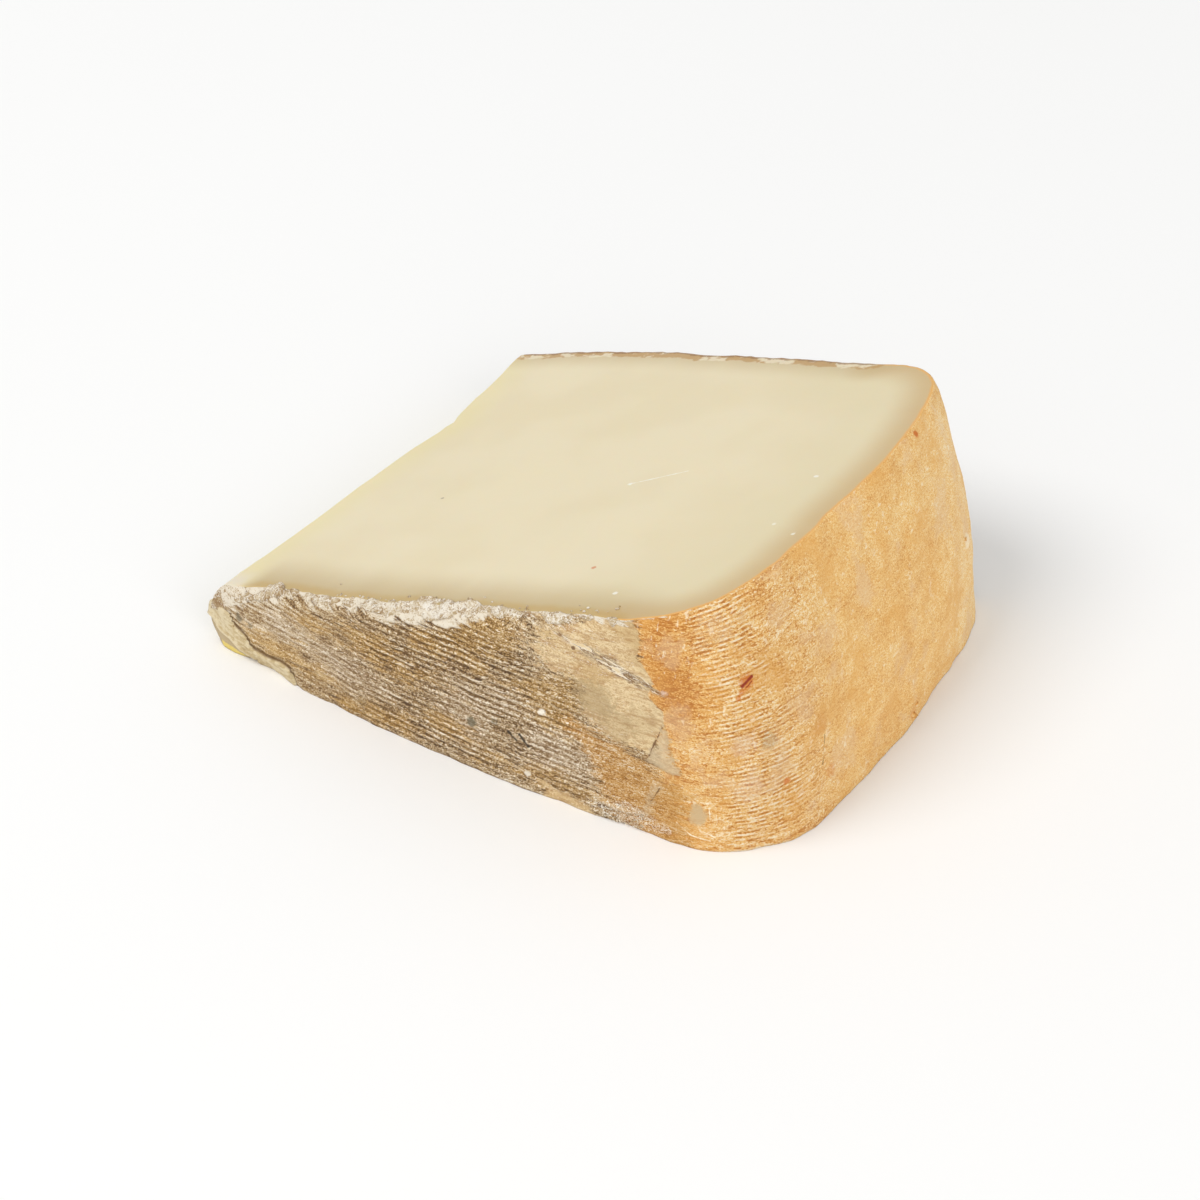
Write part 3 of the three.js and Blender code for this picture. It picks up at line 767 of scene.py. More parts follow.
class Look:
    """A node material, built up one value and one layer of colour at a time"""

    def __init__(self, name, base=None):
        self.material = bpy.data.materials.new(name)
        self.material.use_nodes = True
        self.nodes = self.material.node_tree.nodes
        self.surface = self.nodes["Principled BSDF"]
        self.place = self.nodes.new("ShaderNodeTexCoord").outputs["Object"]
        self.shake = None
        self.base = base

    def put(self, value, socket):
        if isinstance(value, bpy.types.NodeSocket):
            self.material.node_tree.links.new(value, socket)
        else:
            socket.default_value = value

    def node(self, kind, inputs, output=0, **settings):
        """A new node's output, with its settings and its inputs, which are values or other outputs"""
        node = self.nodes.new("ShaderNode" + kind)
        for key, value in settings.items():
            setattr(node, key, value)
        for key, value in inputs.items():
            self.put(value, node.inputs[key])
        return node.outputs[output]

    def attribute(self, name):
        return self.node("Attribute", {}, "Fac", attribute_name=name)

    def noise(self, size, detail, roughness, stretch=(1, 1, 1), seed=0, turn=0.0):
        """Noise around 0.5, with features about as long as size in millimetres; turn is in degrees
        in the plane of the near face"""
        place = self.node("Mapping", {
            "Vector": self.place,
            "Location": (seed * 0.01, seed * 0.007, seed * 0.013),
            "Rotation": (0, math.radians(turn), 0),
            "Scale": [size * MM * share for share in stretch],
        }, vector_type="TEXTURE")
        inputs = {"Vector": place, "Scale": 1.0, "Detail": detail, "Roughness": roughness}
        return self.node("TexNoise", inputs, "Fac")

    def ramp(self, value, shades):
        """A colour that changes smoothly through some stops"""
        output = self.node("ValToRGB", {"Fac": value}, "Color")
        elements = output.node.color_ramp.elements
        while len(elements) < len(shades):
            elements.new(0.5)
        for element, (position, tint) in zip(elements, shades):
            element.position = position
            element.color = tint
        return output

    def calc(self, operation, a, b=0.0, clamp=False):
        return self.node("Math", {0: a, 1: b}, operation=operation, use_clamp=clamp)

    def vector(self, operation, inputs, output="Vector"):
        return self.node("VectorMath", inputs, output, operation=operation)

    def total(self, *values):
        return reduce(lambda a, b: self.calc("ADD", a, b), values)

    def times(self, *values):
        return reduce(lambda a, b: self.calc("MULTIPLY", a, b), values)

    def around(self, value, amount):
        """A noise turned into a swing of that amount around 0"""
        return self.times(self.calc("SUBTRACT", value, 0.5), amount)

    def step(self, value, low, high, out_high=1.0, out_low=0.0):
        """From one value at low to another at high, smoothly; low may be the greater one"""
        return self.node("MapRange", {
            "Value": value, "From Min": low, "From Max": high, "To Min": out_low, "To Max": out_high,
        }, "Result", interpolation_type="SMOOTHSTEP")

    def mix(self, share, a, b):
        return self.node("Mix", {0: share, 6: a, 7: b}, 2, data_type="RGBA")

    def lay(self, share, tint, strength=1.0):
        """Lays a colour over those laid before"""
        self.base = self.mix(self.times(share, strength), self.base, tint)

    def edge(self, name, noise, amount, soft):
        """1 inside a region whose mask holds the millimetres inside it, with a ragged edge"""
        return self.step(self.total(self.attribute(name), self.around(noise, 2 * amount)), -soft, soft)

    def contour(self, noise, level, half_width):
        """1 along the lines where a noise passes a level"""
        gap = self.calc("ABSOLUTE", self.calc("SUBTRACT", noise, level))
        return self.step(gap, half_width, 0.3 * half_width)

    def shaken(self, amount):
        """One rough noise that all spots and lines share, times an amount in millimetres"""
        if self.shake is None:
            self.shake = self.noise(1.0, 2, 0.6)
        return self.times(self.shake, amount * MM)

    def spot(self, centre, radius):
        """1 within a ragged ball of that radius round a point, 0 outside"""
        gap = self.vector("DISTANCE", {0: self.place, 1: to_row(centre).tolist()}, "Value")
        middle = 1.8 * radius * MM
        return self.step(self.total(gap, self.shaken(1.6 * radius)), 1.2 * middle, 0.8 * middle)

    def line(self, start, end, half_width):
        """1 along a thin wandering line between two points"""
        run = to_row(end) - to_row(start)
        offset = self.vector("SUBTRACT", {0: self.place, 1: to_row(start).tolist()})
        reach = self.vector("DOT_PRODUCT", {0: offset, 1: run.tolist()}, "Value")
        share = self.calc("DIVIDE", reach, float(run @ run), clamp=True)
        nearest = self.vector("SCALE", {0: run.tolist(), "Scale": share})
        gap = self.vector("LENGTH", {0: self.vector("SUBTRACT", {0: offset, 1: nearest})}, "Value")
        middle = (half_width + LINE_WANDER / 2) * MM
        return self.step(self.total(gap, self.shaken(LINE_WANDER)), 1.25 * middle, 0.75 * middle)

    def mark(self, place, spots, lines):
        """Lays spots and lines on a side, on which place finds a point from two measures"""
        for a, b, radius, tint, strength in spots:
            self.lay(self.spot(place(a, b), radius), tint, strength)
        for start, end, half_width, tint in lines:
            self.lay(self.line(place(*start), place(*end), half_width), tint)

    def bump(self, height, distance):
        """Adds fine relief of that many millimetres for a height of 1"""
        normal = self.surface.inputs["Normal"]
        inputs = {"Strength": 1.0, "Distance": distance * MM, "Height": height}
        if normal.is_linked:
            inputs["Normal"] = normal.links[0].from_socket
        self.put(self.node("Bump", inputs, "Normal"), normal)

    def finish(self, roughness):
        self.put(self.base, self.surface.inputs["Base Color"])
        self.put(roughness, self.surface.inputs["Roughness"])
        return self.material


def rim_place(y, arc):
    """A point of the rim, without its finer relief"""
    radii, ys, _ = rim_outline()
    radius = float(np.interp(y, ys, radii))
    angle = lower_cut_angle(WHEEL_RADIUS) + arc / WHEEL_RADIUS
    x, z = math.cos(angle), math.sin(angle)
    radius += lumps(AXIS_X + radius * x, y, AXIS_Z + radius * z)
    return (AXIS_X + radius * x, y, AXIS_Z + radius * z)


def near_place(x, z):
    """A point of the near face, without its finer relief"""
    rise = z / upper_cut_height(x)
    start = nose_points(0, rise)[0]
    end = rim_points(WHEEL_RADIUS - NEAR_SIDE["depth"], 0, rise)[0]
    along = min(max((x - start) / (end - start), 0), 1)
    y = NEAR_SIDE["crown"] * math.sin(math.pi * along)
    return (x, y - lumps(x, y, z), z)


def upper_place(along, y):
    """A point of the upper cut, by its distance up the slope from the nose"""
    return (NOSE_TOP_X + along * math.cos(CUT_ANGLE), y, NOSE_TOP_Z + along * math.sin(CUT_ANGLE))


# Colours from the valleys of the rind's relief to its tops
BROWN_RIND = stops((0.08, 82, 58, 34), (0.34, 132, 98, 56), (0.52, 176, 146, 100), (0.72, 216, 198, 166),
                   (0.95, 244, 236, 220))
GOLD_RIND = stops((0.05, 106, 76, 34), (0.4, 164, 122, 58), (0.68, 208, 172, 106), (0.95, 244, 236, 220))
GREY_RIND = stops((0.05, 132, 98, 56), (0.32, 148, 120, 86), (0.5, 194, 173, 140), (0.68, 220, 202, 180),
                  (0.95, 244, 236, 220))
TAWNY_RIND = stops((0.1, 140, 94, 40), (0.35, 180, 126, 54), (0.52, 202, 154, 84), (0.74, 216, 188, 146),
                   (0.95, 244, 236, 220))
ORANGE_RIND = stops((0.05, 188, 118, 44), (0.32, 220, 156, 76), (0.55, 240, 192, 116), (0.75, 248, 213, 148),
                    (0.98, 255, 240, 208))

# Colours that follow a noise
CRACK_LINES = stops((0.38, 232, 208, 162), (0.46, 244, 236, 220), (0.485, 116, 80, 46), (0.53, 132, 98, 56),
                    (0.57, 216, 198, 166), (0.62, 116, 80, 46), (0.66, 232, 208, 162))
FLAP_RIND = stops((0.4, 222, 206, 170), (0.55, 200, 178, 134), (0.8, 158, 130, 88))
WHITE_RIND = stops((0.52, 230, 219, 199), (0.62, 196, 174, 138), (0.75, 150, 118, 78))
WHITE_CRUST = stops((0.3, 244, 237, 224), (0.47, 230, 219, 199), (0.6, 196, 174, 138), (0.8, 150, 118, 78))
RIM_FLAKE = stops((0.3, 188, 118, 44), (0.45, 220, 156, 76), (0.6, 240, 192, 116), (0.75, 255, 240, 208))

NEAR_BROWN = colour(132, 98, 56)
NEAR_WHITE = colour(244, 236, 220)
PATCH_CREAM = colour(232, 208, 162)
PATCH_OLIVE = colour(210, 180, 128)
PATCH_SHADE = colour(172, 146, 102)
PATCH_BROWN = colour(170, 124, 70)
FLAKE_CREAM = colour(226, 204, 164)
FLAKE_LILAC = colour(202, 178, 142)
PALE_OVAL = colour(206, 178, 134)
# Painted shade for the rim's near corner
CORNER_PAINTED_SHADE = colour(150, 92, 34)
ORANGE_DEEP = colour(220, 156, 76)
ORANGE_GOLD = colour(232, 172, 86)
ORANGE_PINK = colour(232, 196, 152)
ORANGE_CREAM = colour(255, 240, 208)
FRINGE_BRIGHT = colour(244, 237, 224)
FRINGE_WHITE = colour(230, 219, 199)
# Painted shadow beside the crust's flake edges
FRINGE_CURL_SHADOW = colour(150, 118, 78)
FLAP_LIGHT = colour(222, 206, 170)
# The flap's seams, and painted shadow below its fold and in the crevice above it
FLAP_SEAM_AND_SHADOW = colour(158, 130, 88)
FLAP_CREVICE_SHADOW = colour(104, 76, 42)
RED_BROWN = colour(150, 50, 14)
RUST = colour(208, 112, 26)
GREY_GREEN = colour(104, 96, 74)
PINK_GREY = colour(222, 200, 184)
CRACK = colour(116, 80, 46)
SLIT = colour(62, 50, 36)
PASTE = colour(233, 220, 186)
PASTE_DULL = colour(230, 216, 180)
PASTE_YELLOW = colour(233, 221, 160)
PASTE_GREEN = colour(224, 211, 172)
PASTE_TAN = colour(196, 172, 124)
PASTE_EDGE = colour(202, 170, 116)
PASTE_OCHRE = colour(196, 160, 86)
PASTE_BROWN = colour(140, 98, 50)
PASTE_SLIVER = colour(230, 206, 116)
FAR_RIND = colour(190, 150, 92)
FAR_FLAKE = colour(232, 218, 188)
CUT_WHITE = colour(248, 244, 232)
CUT_DARK = colour(140, 116, 84)
PASTE_TRANSLUCENCY = 0.35
PASTE_LIGHT_SPREAD = (1.0, 0.7, 0.4)
PASTE_LIGHT_DEPTH = 3

# Spots on the near face by x and z, on the rim by y and the arc up from the lower cut, and on the cut by
# the distance from the nose and y. After that come the radius, the colour and how strongly it shows
NEAR_SPOTS = (
    (10, 9.6, 0.9, GREY_GREEN, 0.7),
    (13.2, 9.4, 0.6, GREY_GREEN, 0.5),
    (67, 11.2, 1.0, GREY_GREEN, 0.8),
    (72, 13.2, 0.8, GREY_GREEN, 0.45),
    (41.5, 4.6, 1.1, GREY_GREEN, 0.2),
    (82, 19.4, 0.7, NEAR_WHITE, 0.9),
    (79, 3.9, 0.6, NEAR_WHITE, 0.8),
    (88.5, 36.4, 0.4, CRACK, 0.9),
    (93, 26.5, 4.0, PATCH_SHADE, 0.6),
    (97.5, 22.5, 3.6, PATCH_SHADE, 0.35),
    (102, 25, 3.6, PATCH_SHADE, 0.25),
    (106.4, 33, 0.8, PINK_GREY, 0.8),
)
RIM_SPOTS = (
    (9.3, 37.0, 1.3, RUST, 0.75),
    (8.0, 35.4, 0.6, RUST, 0.6),
    (7.2, 34.4, 0.45, RUST, 0.6),
    (12.8, 13.4, 0.7, RUST, 0.8),
    (24.6, 8.6, 1.2, RUST, 0.3),
    (22.4, 20.2, 1.9, ORANGE_DEEP, 0.6),
    (54.0, 2.4, 1.2, RUST, 0.25),
    (74, 52.3, 0.8, RUST, 0.95),
    (10.6, 23.4, 1.6, GREY_GREEN, 0.2),
    (6.5, 24.4, 2.2, PINK_GREY, 0.25),
    (6.2, 14.5, 2.6, PINK_GREY, 0.2),
    (85.5, 22.0, 1.6, ORANGE_CREAM, 0.6),
    (1.0, 8.2, 1.4, PALE_OVAL, 0.8),
    (1.2, 9.4, 1.6, PALE_OVAL, 0.8),
    (1.1, 10.8, 1.3, PALE_OVAL, 0.8),
)
CUT_SPOTS = (
    (65.5, 47.5, 0.5, CUT_WHITE, 0.9),
    (104, 54, 0.45, CUT_WHITE, 0.8),
    (89, 9, 0.5, CUT_WHITE, 0.8),
    (106, 36, 0.4, CUT_WHITE, 0.7),
    (112, 33, 0.4, CUT_WHITE, 0.7),
    (78.5, 16.8, 0.5, RUST, 0.7),
    (26, 38, 0.35, CUT_DARK, 0.6),
)

# Lines, placed in the same ways: start, end, half width and colour
LINE_WANDER = 0.5
NEAR_LINES = (
    ((75.0, 12.2), (76.8, 10.8), 0.25, SLIT),
    ((77.4, 12.4), (79.2, 10.4), 0.3, SLIT),
    # A line of painted shadow beside the fold of rind at the corner's foot
    ((104.4, 7.6), (106.2, 11.4), 0.12, NEAR_BROWN),
    ((8.2, 7.6), (9.0, 3.4), 0.1, FLAP_SEAM_AND_SHADOW),
    ((13.6, 3.2), (14.4, 1.2), 0.1, FLAP_SEAM_AND_SHADOW),
    ((106.6, 26.0), (104.0, 18.2), 0.12, CRACK),
    ((101.5, 34.6), (104.6, 33.4), 0.12, CRACK),
    ((104.6, 33.4), (107.8, 32.6), 0.14, CRACK),
    ((2.8, 0.7), (8.4, 0.5), 0.55, PASTE_SLIVER),
    ((8.4, 0.5), (14.0, 0.1), 0.3, PASTE_SLIVER),
)
RIM_LINES = (
    ((8.3, 36.5), (10.3, 37.5), 0.3, RED_BROWN),
    ((9.0, 36.0), (10.0, 36.6), 0.15, RED_BROWN),
    ((0.1, 6.4), (0.6, 4.0), 0.12, ORANGE_CREAM),
    ((0.6, 4.0), (1.8, 3.2), 0.15, ORANGE_CREAM),
    ((1.3, 5.4), (2.2, 4.2), 0.1, ORANGE_CREAM),
    ((1.9, 8.4), (1.9, 11.4), 0.08, ORANGE_CREAM),
    ((0.2, 12.4), (2.0, 12.6), 0.1, ORANGE_CREAM),
    ((0.6, 33.6), (4.4, 31.4), 0.12, NEAR_BROWN),
    ((23.2, 17.5), (22.0, 11.6), 0.08, NEAR_BROWN),
)
CUT_LINES = (((65, 47.2), (75, 53.5), 0.12, CUT_WHITE),)


def curls_and_shadows(look):
    """Thin pale lines where rind edges curl up, each with a line of painted shadow beside it"""
    wave = look.noise(1.3, 3, 0.65, (3.2, 3.2, 0.8), seed=61)
    bright = look.times(look.contour(wave, 0.5, 0.04), 0.14)
    painted_shadow = look.times(look.contour(wave, 0.56, 0.04), -0.2)
    return look.total(bright, painted_shadow)


def face_rind_colour(look, height, streak, broad):
    """The brown ridged rind of the flat faces"""
    shift = look.total(look.around(broad, 12.0), look.around(streak, 16.0))
    grey = look.step(look.total(look.attribute("grey"), shift), -2.5, 2.5, 0.65)
    gold = look.step(look.total(look.attribute("gold"), shift), -2.0, 2.0, 0.8)
    base = look.mix(grey, look.ramp(height, BROWN_RIND), look.ramp(height, GREY_RIND))
    return look.mix(gold, base, look.ramp(height, GOLD_RIND))


def rim_rind_colour(look, height, fine, broad):
    """The orange rind of the rim"""
    patchy = look.noise(5.5, 4, 0.65, seed=15)
    calm = look.total(look.around(fine, 1.2), look.around(broad, 0.4), look.around(patchy, 0.45))
    lively = look.times(look.calc("SUBTRACT", height, 0.5), look.attribute("lively"))
    deep = look.times(look.attribute("deep"), -0.36)
    value = look.total(0.56, calm, lively, deep, look.attribute("tone"))
    cloud = look.noise(8.0, 4, 0.65, (1, 1.4, 1.4), seed=16)
    base = look.mix(look.step(cloud, 0.5, 0.64, 0.5), look.ramp(value, ORANGE_RIND), ORANGE_GOLD)
    base = look.mix(look.step(cloud, 0.47, 0.36, 0.4), base, ORANGE_PINK)
    # Painted shade: the rim darkened towards its near corner
    base = look.mix(look.times(look.attribute("shade"), 0.12), base, CORNER_PAINTED_SHADE)
    wisps = look.step(look.noise(0.8, 3, 0.6, (1, 2.2, 2.2), seed=51), 0.6, 0.7, 0.6)
    return look.mix(look.times(wisps, look.step(broad, 0.42, 0.6)), base, ORANGE_CREAM)


def patch_colour(look, height, streak, small, broad):
    """The smoother pale places of the near face"""
    base = look.mix(look.step(broad, 0.46, 0.62, 0.8), PATCH_CREAM, PATCH_OLIVE)
    base = look.mix(look.step(streak, 0.48, 0.66, 0.7), base, PATCH_BROWN)
    base = look.mix(look.step(small, 0.5, 0.68, 0.45), base, PATCH_BROWN)
    base = look.mix(look.step(height, 0.52, 0.1, 0.65), base, PATCH_BROWN)
    return look.mix(look.step(height, 0.66, 1.0, 0.6), base, NEAR_WHITE)


def lay_flap(look, small, broad):
    """The loose flap of outer rind, its fold with painted shadow below it, and painted shadow in the crevice
    along its upper edge
    """
    inside, fold = look.attribute("flap"), look.attribute("fold")
    flap = look.ramp(look.total(small, look.around(broad, 0.6)), FLAP_RIND)
    flap = look.mix(look.step(fold, 0.7, 0.2), flap, FLAP_LIGHT)
    # Painted shadow below the fold
    flap = look.mix(look.step(fold, 0.0, -0.35, 0.55), flap, FLAP_SEAM_AND_SHADOW)
    # Painted shadow in the crevice along the flap's upper edge
    look.lay(look.step(inside, -0.6, -0.2), FLAP_CREVICE_SHADOW, 0.85)
    look.lay(look.step(inside, -0.15, 0.1), flap)


def rind_material():
    look = Look("natural_rind")
    fine = look.noise(0.23, 3, 0.75, (1.6, 1.6, 1.0), seed=2.2)
    small = look.noise(1.1, 4, 0.65, (1.5, 1.5, 0.8), seed=8.8)
    streak = look.noise(1.5, 4, 0.65, (3.4, 3.4, 0.5), seed=7.7)
    broad = look.noise(10, 4, 0.6, (1.8, 1.8, 0.9), seed=3.1)
    lines = look.noise(0.85, 3, 0.6, (5, 5, 0.8), seed=33, turn=14)
    ridged, grainy, tone = (look.attribute(name) for name in ("ridged", "grain", "tone"))
    ridge = look.calc("SUBTRACT", look.step(look.attribute("ridge"), 0.15, 0.85), 0.5)
    lifted = look.times(ridge, ridged)
    grain = look.times(look.around(fine, 2.0), grainy)
    # Pale curling edges of rind, each with a line of painted shadow
    curls_with_shadow = curls_and_shadows(look)
    face_lift = look.times(lifted, look.step(small, 0.4, 0.6, 0.68, out_low=0.3))
    rim_lift = look.times(lifted, look.step(small, 0.4, 0.6), 1.05)
    height = look.total(0.46, tone, face_lift, grain, look.times(curls_with_shadow, grainy), look.around(streak, 0.75))
    rim_height = look.total(0.45, look.times(ridged, 0.1), rim_lift, grain, look.times(curls_with_shadow, 1.35),
                            look.around(streak, 0.8))

    face = face_rind_colour(look, height, streak, broad)
    rim = rim_rind_colour(look, rim_height, fine, broad)
    look.base = look.mix(look.edge("orange", streak, 5.0, 1.2), face, rim)
    look.lay(look.edge("tawny", streak, 5.0, 1.6), look.ramp(height, TAWNY_RIND), 0.9)
    look.lay(look.edge("pale", small, 4.0, 0.8), patch_colour(look, height, streak, small, broad))
    flake = look.mix(look.step(small, 0.44, 0.6), FLAKE_CREAM, FLAKE_LILAC)
    look.lay(look.step(look.attribute("flake"), -0.4, -0.1), NEAR_BROWN, 0.3)
    look.lay(look.edge("flake", small, 3.0, 0.4), flake, 0.7)
    look.lay(look.edge("folded", small, 2.4, 0.6), FLAKE_LILAC, 0.5)
    line = look.ramp(look.total(lines, look.around(fine, 0.15)), CRACK_LINES)
    look.lay(look.edge("cracked", small, 1.5, 0.6), line, 0.9)
    lay_flap(look, small, broad)
    crumbs = look.times(look.edge("crumbly", small, 2.0, 0.8), look.step(fine, 0.5, 0.58))
    look.lay(crumbs, NEAR_WHITE, 0.85)
    white = look.ramp(look.total(small, look.around(fine, 1.1)), WHITE_RIND)
    look.lay(look.edge("white", streak, 4.0, 0.5), white)
    look.mark(near_place, NEAR_SPOTS, NEAR_LINES)
    look.mark(rim_place, RIM_SPOTS, RIM_LINES)
    look.bump(look.noise(0.33, 2, 0.7, (1.6, 1.6, 0.9), seed=4), 0.16)
    return look.finish(look.step(broad, 0.3, 0.7, 0.82, out_low=0.6))


def paste_material():
    look = Look("paste")
    to_near, to_rim, to_far, to_nose = (look.attribute("to_" + side)
                                        for side in ("near", "rim", "far", "nose"))
    cloud = look.around(look.noise(16, 2, 0.5, seed=1), 6.0)
    off_nose = look.step(to_nose, 2.5, 8.0)
    look.base = look.mix(look.step(look.noise(30, 2, 0.5, seed=2), 0.4, 0.6), PASTE, PASTE_DULL)
    look.lay(look.step(look.total(to_nose, cloud), 9.0, 0.5), PASTE_YELLOW, 0.4)
    look.lay(look.step(look.total(to_rim, cloud), 26.0, 8.0), PASTE_GREEN, 0.6)
    look.lay(look.times(look.step(to_near, 13.0, 0.5), off_nose), PASTE_TAN, 0.85)
    look.lay(look.step(to_rim, 9.0, 0.5), PASTE_EDGE, 0.75)
    look.lay(look.step(to_far, 9.0, 0.5), PASTE_TAN, 0.6)
    look.lay(look.times(look.step(to_near, 3.2, 1.0), off_nose), PASTE_OCHRE, 0.5)
    tip = look.times(look.step(to_near, 7.0, 2.0), look.step(to_nose, 5.0, 2.5))
    look.lay(tip, FRINGE_WHITE, 0.75)
    look.lay(look.step(to_rim, 0.8, 0.2), ORANGE_GOLD, 0.8)
    far_rind = look.total(to_far, look.around(look.noise(2.6, 4, 0.65, seed=6.1), 3.0))
    flaked = look.step(look.noise(5.0, 3, 0.6, seed=6.6), 0.52, 0.6)
    look.lay(look.step(far_rind, 2.6, 2.0), look.mix(flaked, FAR_RIND, FAR_FLAKE), 0.85)
    look.lay(look.step(far_rind, 0.9, 0.4), PASTE_BROWN, 0.7)
    look.mark(upper_place, CUT_SPOTS, CUT_LINES)
    look.bump(look.noise(1.4, 3, 0.6, (14, 1, 14), seed=3.3), 0.03)
    look.bump(look.noise(0.5, 3, 0.6, seed=4.4), 0.02)
    look.put(PASTE_TRANSLUCENCY, look.surface.inputs["Subsurface Weight"])
    look.put(PASTE_LIGHT_SPREAD, look.surface.inputs["Subsurface Radius"])
    look.put(PASTE_LIGHT_DEPTH * MM, look.surface.inputs["Subsurface Scale"])
    return look.finish(look.step(look.noise(12, 2, 0.5, seed=5), 0.3, 0.7, 0.5, out_low=0.36))


def crumb_material():
    look = Look("white_crumbs")
    tone = look.noise(2.0, 4, 0.65, seed=20)
    broad = look.noise(7.0, 3, 0.6, seed=25)
    fine = look.noise(0.45, 3, 0.7, seed=23)
    thin = look.step(look.total(look.attribute("inside"), look.around(tone, 6.0)), 1.3, -0.4, 0.22)
    value = look.total(tone, thin, look.around(fine, 0.7), look.around(broad, 0.6))
    look.base = look.ramp(value, WHITE_CRUST)
    curl = look.noise(1.7, 3, 0.65, seed=62)
    look.lay(look.contour(curl, 0.5, 0.03), FRINGE_BRIGHT, 0.8)
    # A line of painted shadow beside each pale flake edge of the crust
    look.lay(look.contour(curl, 0.545, 0.034), FRINGE_CURL_SHADOW, 0.62)
    look.bump(look.noise(0.3, 3, 0.7, seed=21), 0.15)
    return look.finish(0.8)


def flake_material():
    look = Look("rind_flakes")
    look.base = look.ramp(look.noise(0.8, 3, 0.6, seed=71), RIM_FLAKE)
    return look.finish(0.7)


# Loose crumbs and flakes

RIM_FLAKES = ((54.2, 2.0), (55.6, 3.4), (84.6, 22.9))
RIM_FLAKE_RADII = (1.1, 0.8, 0.9)
CUT_CRUMBS = 45
CORNER_CRUMBS = 70
CRUMB_FLATNESS = 0.6
RIM_FLAKE_FLATNESS = 0.35
CHIP_DENTS = 0.35
GOLDEN = (1 + math.sqrt(5)) / 2
CHIP_CORNERS = ((-1, GOLDEN, 0), (1, GOLDEN, 0), (-1, -GOLDEN, 0), (1, -GOLDEN, 0),
                (0, -1, GOLDEN), (0, 1, GOLDEN), (0, -1, -GOLDEN), (0, 1, -GOLDEN),
                (GOLDEN, 0, -1), (GOLDEN, 0, 1), (-GOLDEN, 0, -1), (-GOLDEN, 0, 1))
CHIP_FACES = ((0, 11, 5), (0, 5, 1), (0, 1, 7), (0, 7, 10), (0, 10, 11), (1, 5, 9), (5, 11, 4),
              (11, 10, 2), (10, 7, 6), (7, 1, 8), (3, 9, 4), (3, 4, 2), (3, 2, 6), (3, 6, 8),
              (3, 8, 9), (4, 9, 5), (2, 4, 11), (6, 2, 10), (8, 6, 7), (9, 8, 1))


def chip(radius, flat, turn, random):
    """The corners of a small irregular chip: a ball of triangles, flattened and dented"""
    points = np.array(CHIP_CORNERS) / math.hypot(1, GOLDEN)
    points = points * (1 + random.uniform(-CHIP_DENTS, CHIP_DENTS, (12, 1)))
    points = points * radius * np.array([1, random.uniform(0.5, 0.9), flat])
    return points @ turn.T


def turned(normal, random):
    """A turn that lays a chip roughly flat on a surface"""
    up = Vector(normal) + Vector(random.normal(0, 0.35, 3).tolist())
    matrix = up.to_track_quat("Z", "Y").to_matrix() @ Matrix.Rotation(random.uniform(0, 6.28), 3, "Z")
    return np.array(matrix)


def add_chips(name, places, normals, radii, flat, material, seed):
    random = np.random.default_rng(seed)
    vertices, faces = [], []
    for i, (place, normal, radius) in enumerate(zip(places, normals, radii)):
        vertices.append(chip(radius, flat, turned(normal, random), random) + place)
        faces += [[12 * i + corner for corner in face] for face in CHIP_FACES]
    values = {"inside": np.full(12 * len(places), 3.0)}
    attach(build_object(name, np.concatenate(vertices), faces, [material], values=values))


def crumbs_on_cut(material):
    """Crumbs that fell from the crust onto the upper cut"""
    random = np.random.default_rng(90)
    x = random.uniform(32, 97, CUT_CRUMBS)
    away = random.exponential(0.7, CUT_CRUMBS) - 0.3
    y = np.maximum(curve(x, CRUST_ABOVE), 3.4) + away + NEAR_SIDE["crown"] * np.sin(math.pi * x / 100)
    places = np.column_stack([x, y, upper_cut_height(x) + 0.05])
    radii = random.uniform(0.12, 0.4, CUT_CRUMBS)
    add_chips("crumbs", places, np.tile(CUT_UP, (CUT_CRUMBS, 1)), radii, CRUMB_FLATNESS, material, 91)


def crumbs_at_corner(material):
    """Crumbs at the foot of the near corner"""
    random = np.random.default_rng(92)
    x = random.uniform(94.5, 103, CORNER_CRUMBS)
    z = random.uniform(0.4, 4.6, CORNER_CRUMBS)
    places = np.array([near_place(*place) for place in zip(x, z)])
    normals = np.tile([0.0, -1.0, 0.0], (CORNER_CRUMBS, 1))
    radii = random.uniform(0.12, 0.36, CORNER_CRUMBS)
    add_chips("corner_crumbs", places, normals, radii, CRUMB_FLATNESS, material, 93)


def flakes_on_rim(material):
    """Small flakes that lift off the rim: at its foot and half way up its far end"""
    places = np.array([rim_place(*place) for place in RIM_FLAKES])
    normals = (places - np.array([AXIS_X, 0, AXIS_Z])) * np.array([1, 0, 1])
    normals /= np.linalg.norm(normals, axis=-1, keepdims=True)
    add_chips("rim_flakes", places, normals, RIM_FLAKE_RADII, RIM_FLAKE_FLATNESS, material, 95)


# The wedge

vertices, faces, paste, values = wedge_mesh()
materials = [rind_material(), paste_material()]
cheese = build_object("cheese_wedge", vertices, faces, materials, paste, values)
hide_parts("cheese")
attach(cheese)
crumb_look = crumb_material()
crust_object(crumb_look)
crumbs_on_cut(crumb_look)
crumbs_at_corner(crumb_look)
flakes_on_rim(flake_material())


# The stage

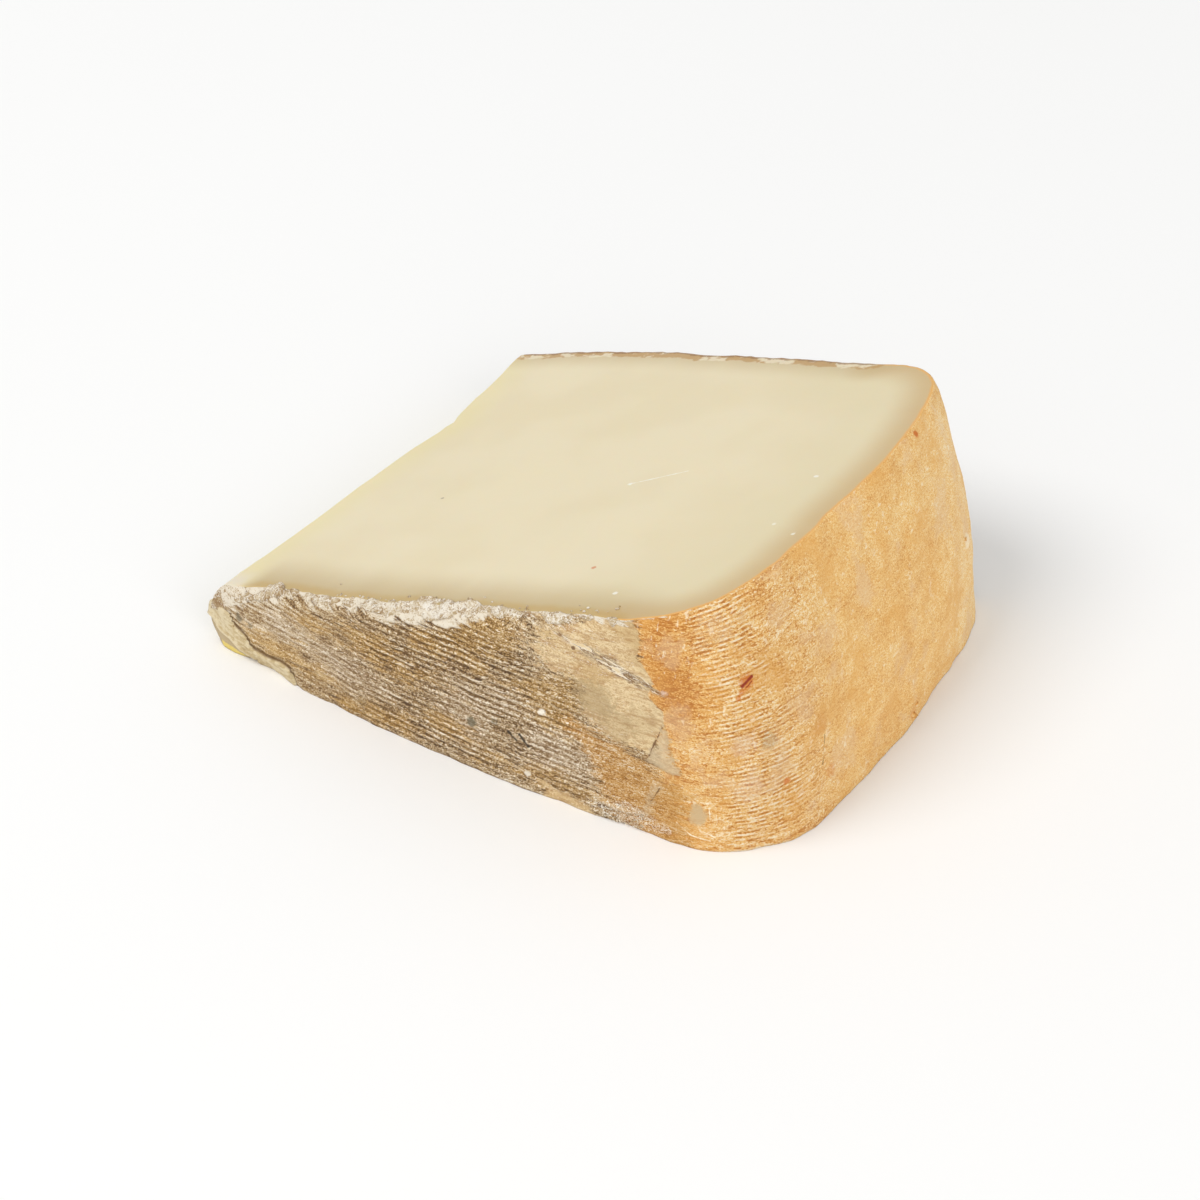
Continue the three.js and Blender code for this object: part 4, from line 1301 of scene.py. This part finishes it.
FLOOR_DROP = 0.05
CAMERA_AZIMUTH = math.radians(33.96)
CAMERA_ELEVATION = math.radians(36.89)
CAMERA_DISTANCE = 600.0
CAMERA_AIM = np.array([65.67, 41.11, 10.96])
CAMERA_LENS = 93.1
SENSOR_WIDTH = 36.0
WORLD_STRENGTH = 0.62
FLOOR_HALF_WIDTH = 3.0
LIGHT_AIM = Vector((0, 0, 0.02))


def add_floor():
    half = FLOOR_HALF_WIDTH
    mesh = bpy.data.meshes.new("floor")
    corners = [(-half, -half, 0), (half, -half, 0), (half, half, 0), (-half, half, 0)]
    mesh.from_pydata(corners, [], [(0, 1, 2, 3)])
    look = Look("pale_floor")
    look.base = look.mix(look.noise(400, 2, 0.55), colour(246, 246, 245), colour(250, 250, 249))
    mesh.materials.append(look.finish(0.9))
    floor = add_object("floor", mesh)
    floor.location.z = -FLOOR_DROP * MM


def add_camera():
    a, e = CAMERA_AZIMUTH, CAMERA_ELEVATION
    right = Vector((math.cos(a), math.sin(a), 0))
    up = Vector((-math.sin(a) * math.sin(e), math.cos(a) * math.sin(e), math.cos(e)))
    back = Vector((math.sin(a) * math.cos(e), -math.cos(a) * math.cos(e), math.sin(e)))
    data = bpy.data.cameras.new("camera")
    data.sensor_width = SENSOR_WIDTH
    data.lens = CAMERA_LENS
    data.clip_start = 0.01
    place = Vector(to_row(CAMERA_AIM)) + back * CAMERA_DISTANCE * MM
    turn = Matrix((right, up, back)).transposed()
    camera = add_object("camera", data)
    camera.matrix_world = Matrix.Translation(place) @ turn.to_4x4()
    bpy.context.scene.camera = camera


def add_light(name, place, size, power):
    data = bpy.data.lights.new(name, "AREA")
    data.shape = "DISK"
    data.size = size
    data.energy = power
    light = add_object(name, data)
    light.location = place
    light.rotation_euler = (LIGHT_AIM - Vector(place)).to_track_quat("-Z", "Y").to_euler()


def add_world():
    world = bpy.data.worlds.new("studio")
    world.use_nodes = True
    background = world.node_tree.nodes["Background"]
    background.inputs["Color"].default_value = (1.0, 1.0, 1.0, 1.0)
    background.inputs["Strength"].default_value = WORLD_STRENGTH
    bpy.context.scene.world = world


add_floor()
add_camera()
add_world()
add_light("key", (-1.1, -1.6, 2.7), 1.8, 46.0)
add_light("fill", (2.3, -1.1, 1.5), 2.0, 20.0)
bpy.context.scene.view_settings.view_transform = "Standard"
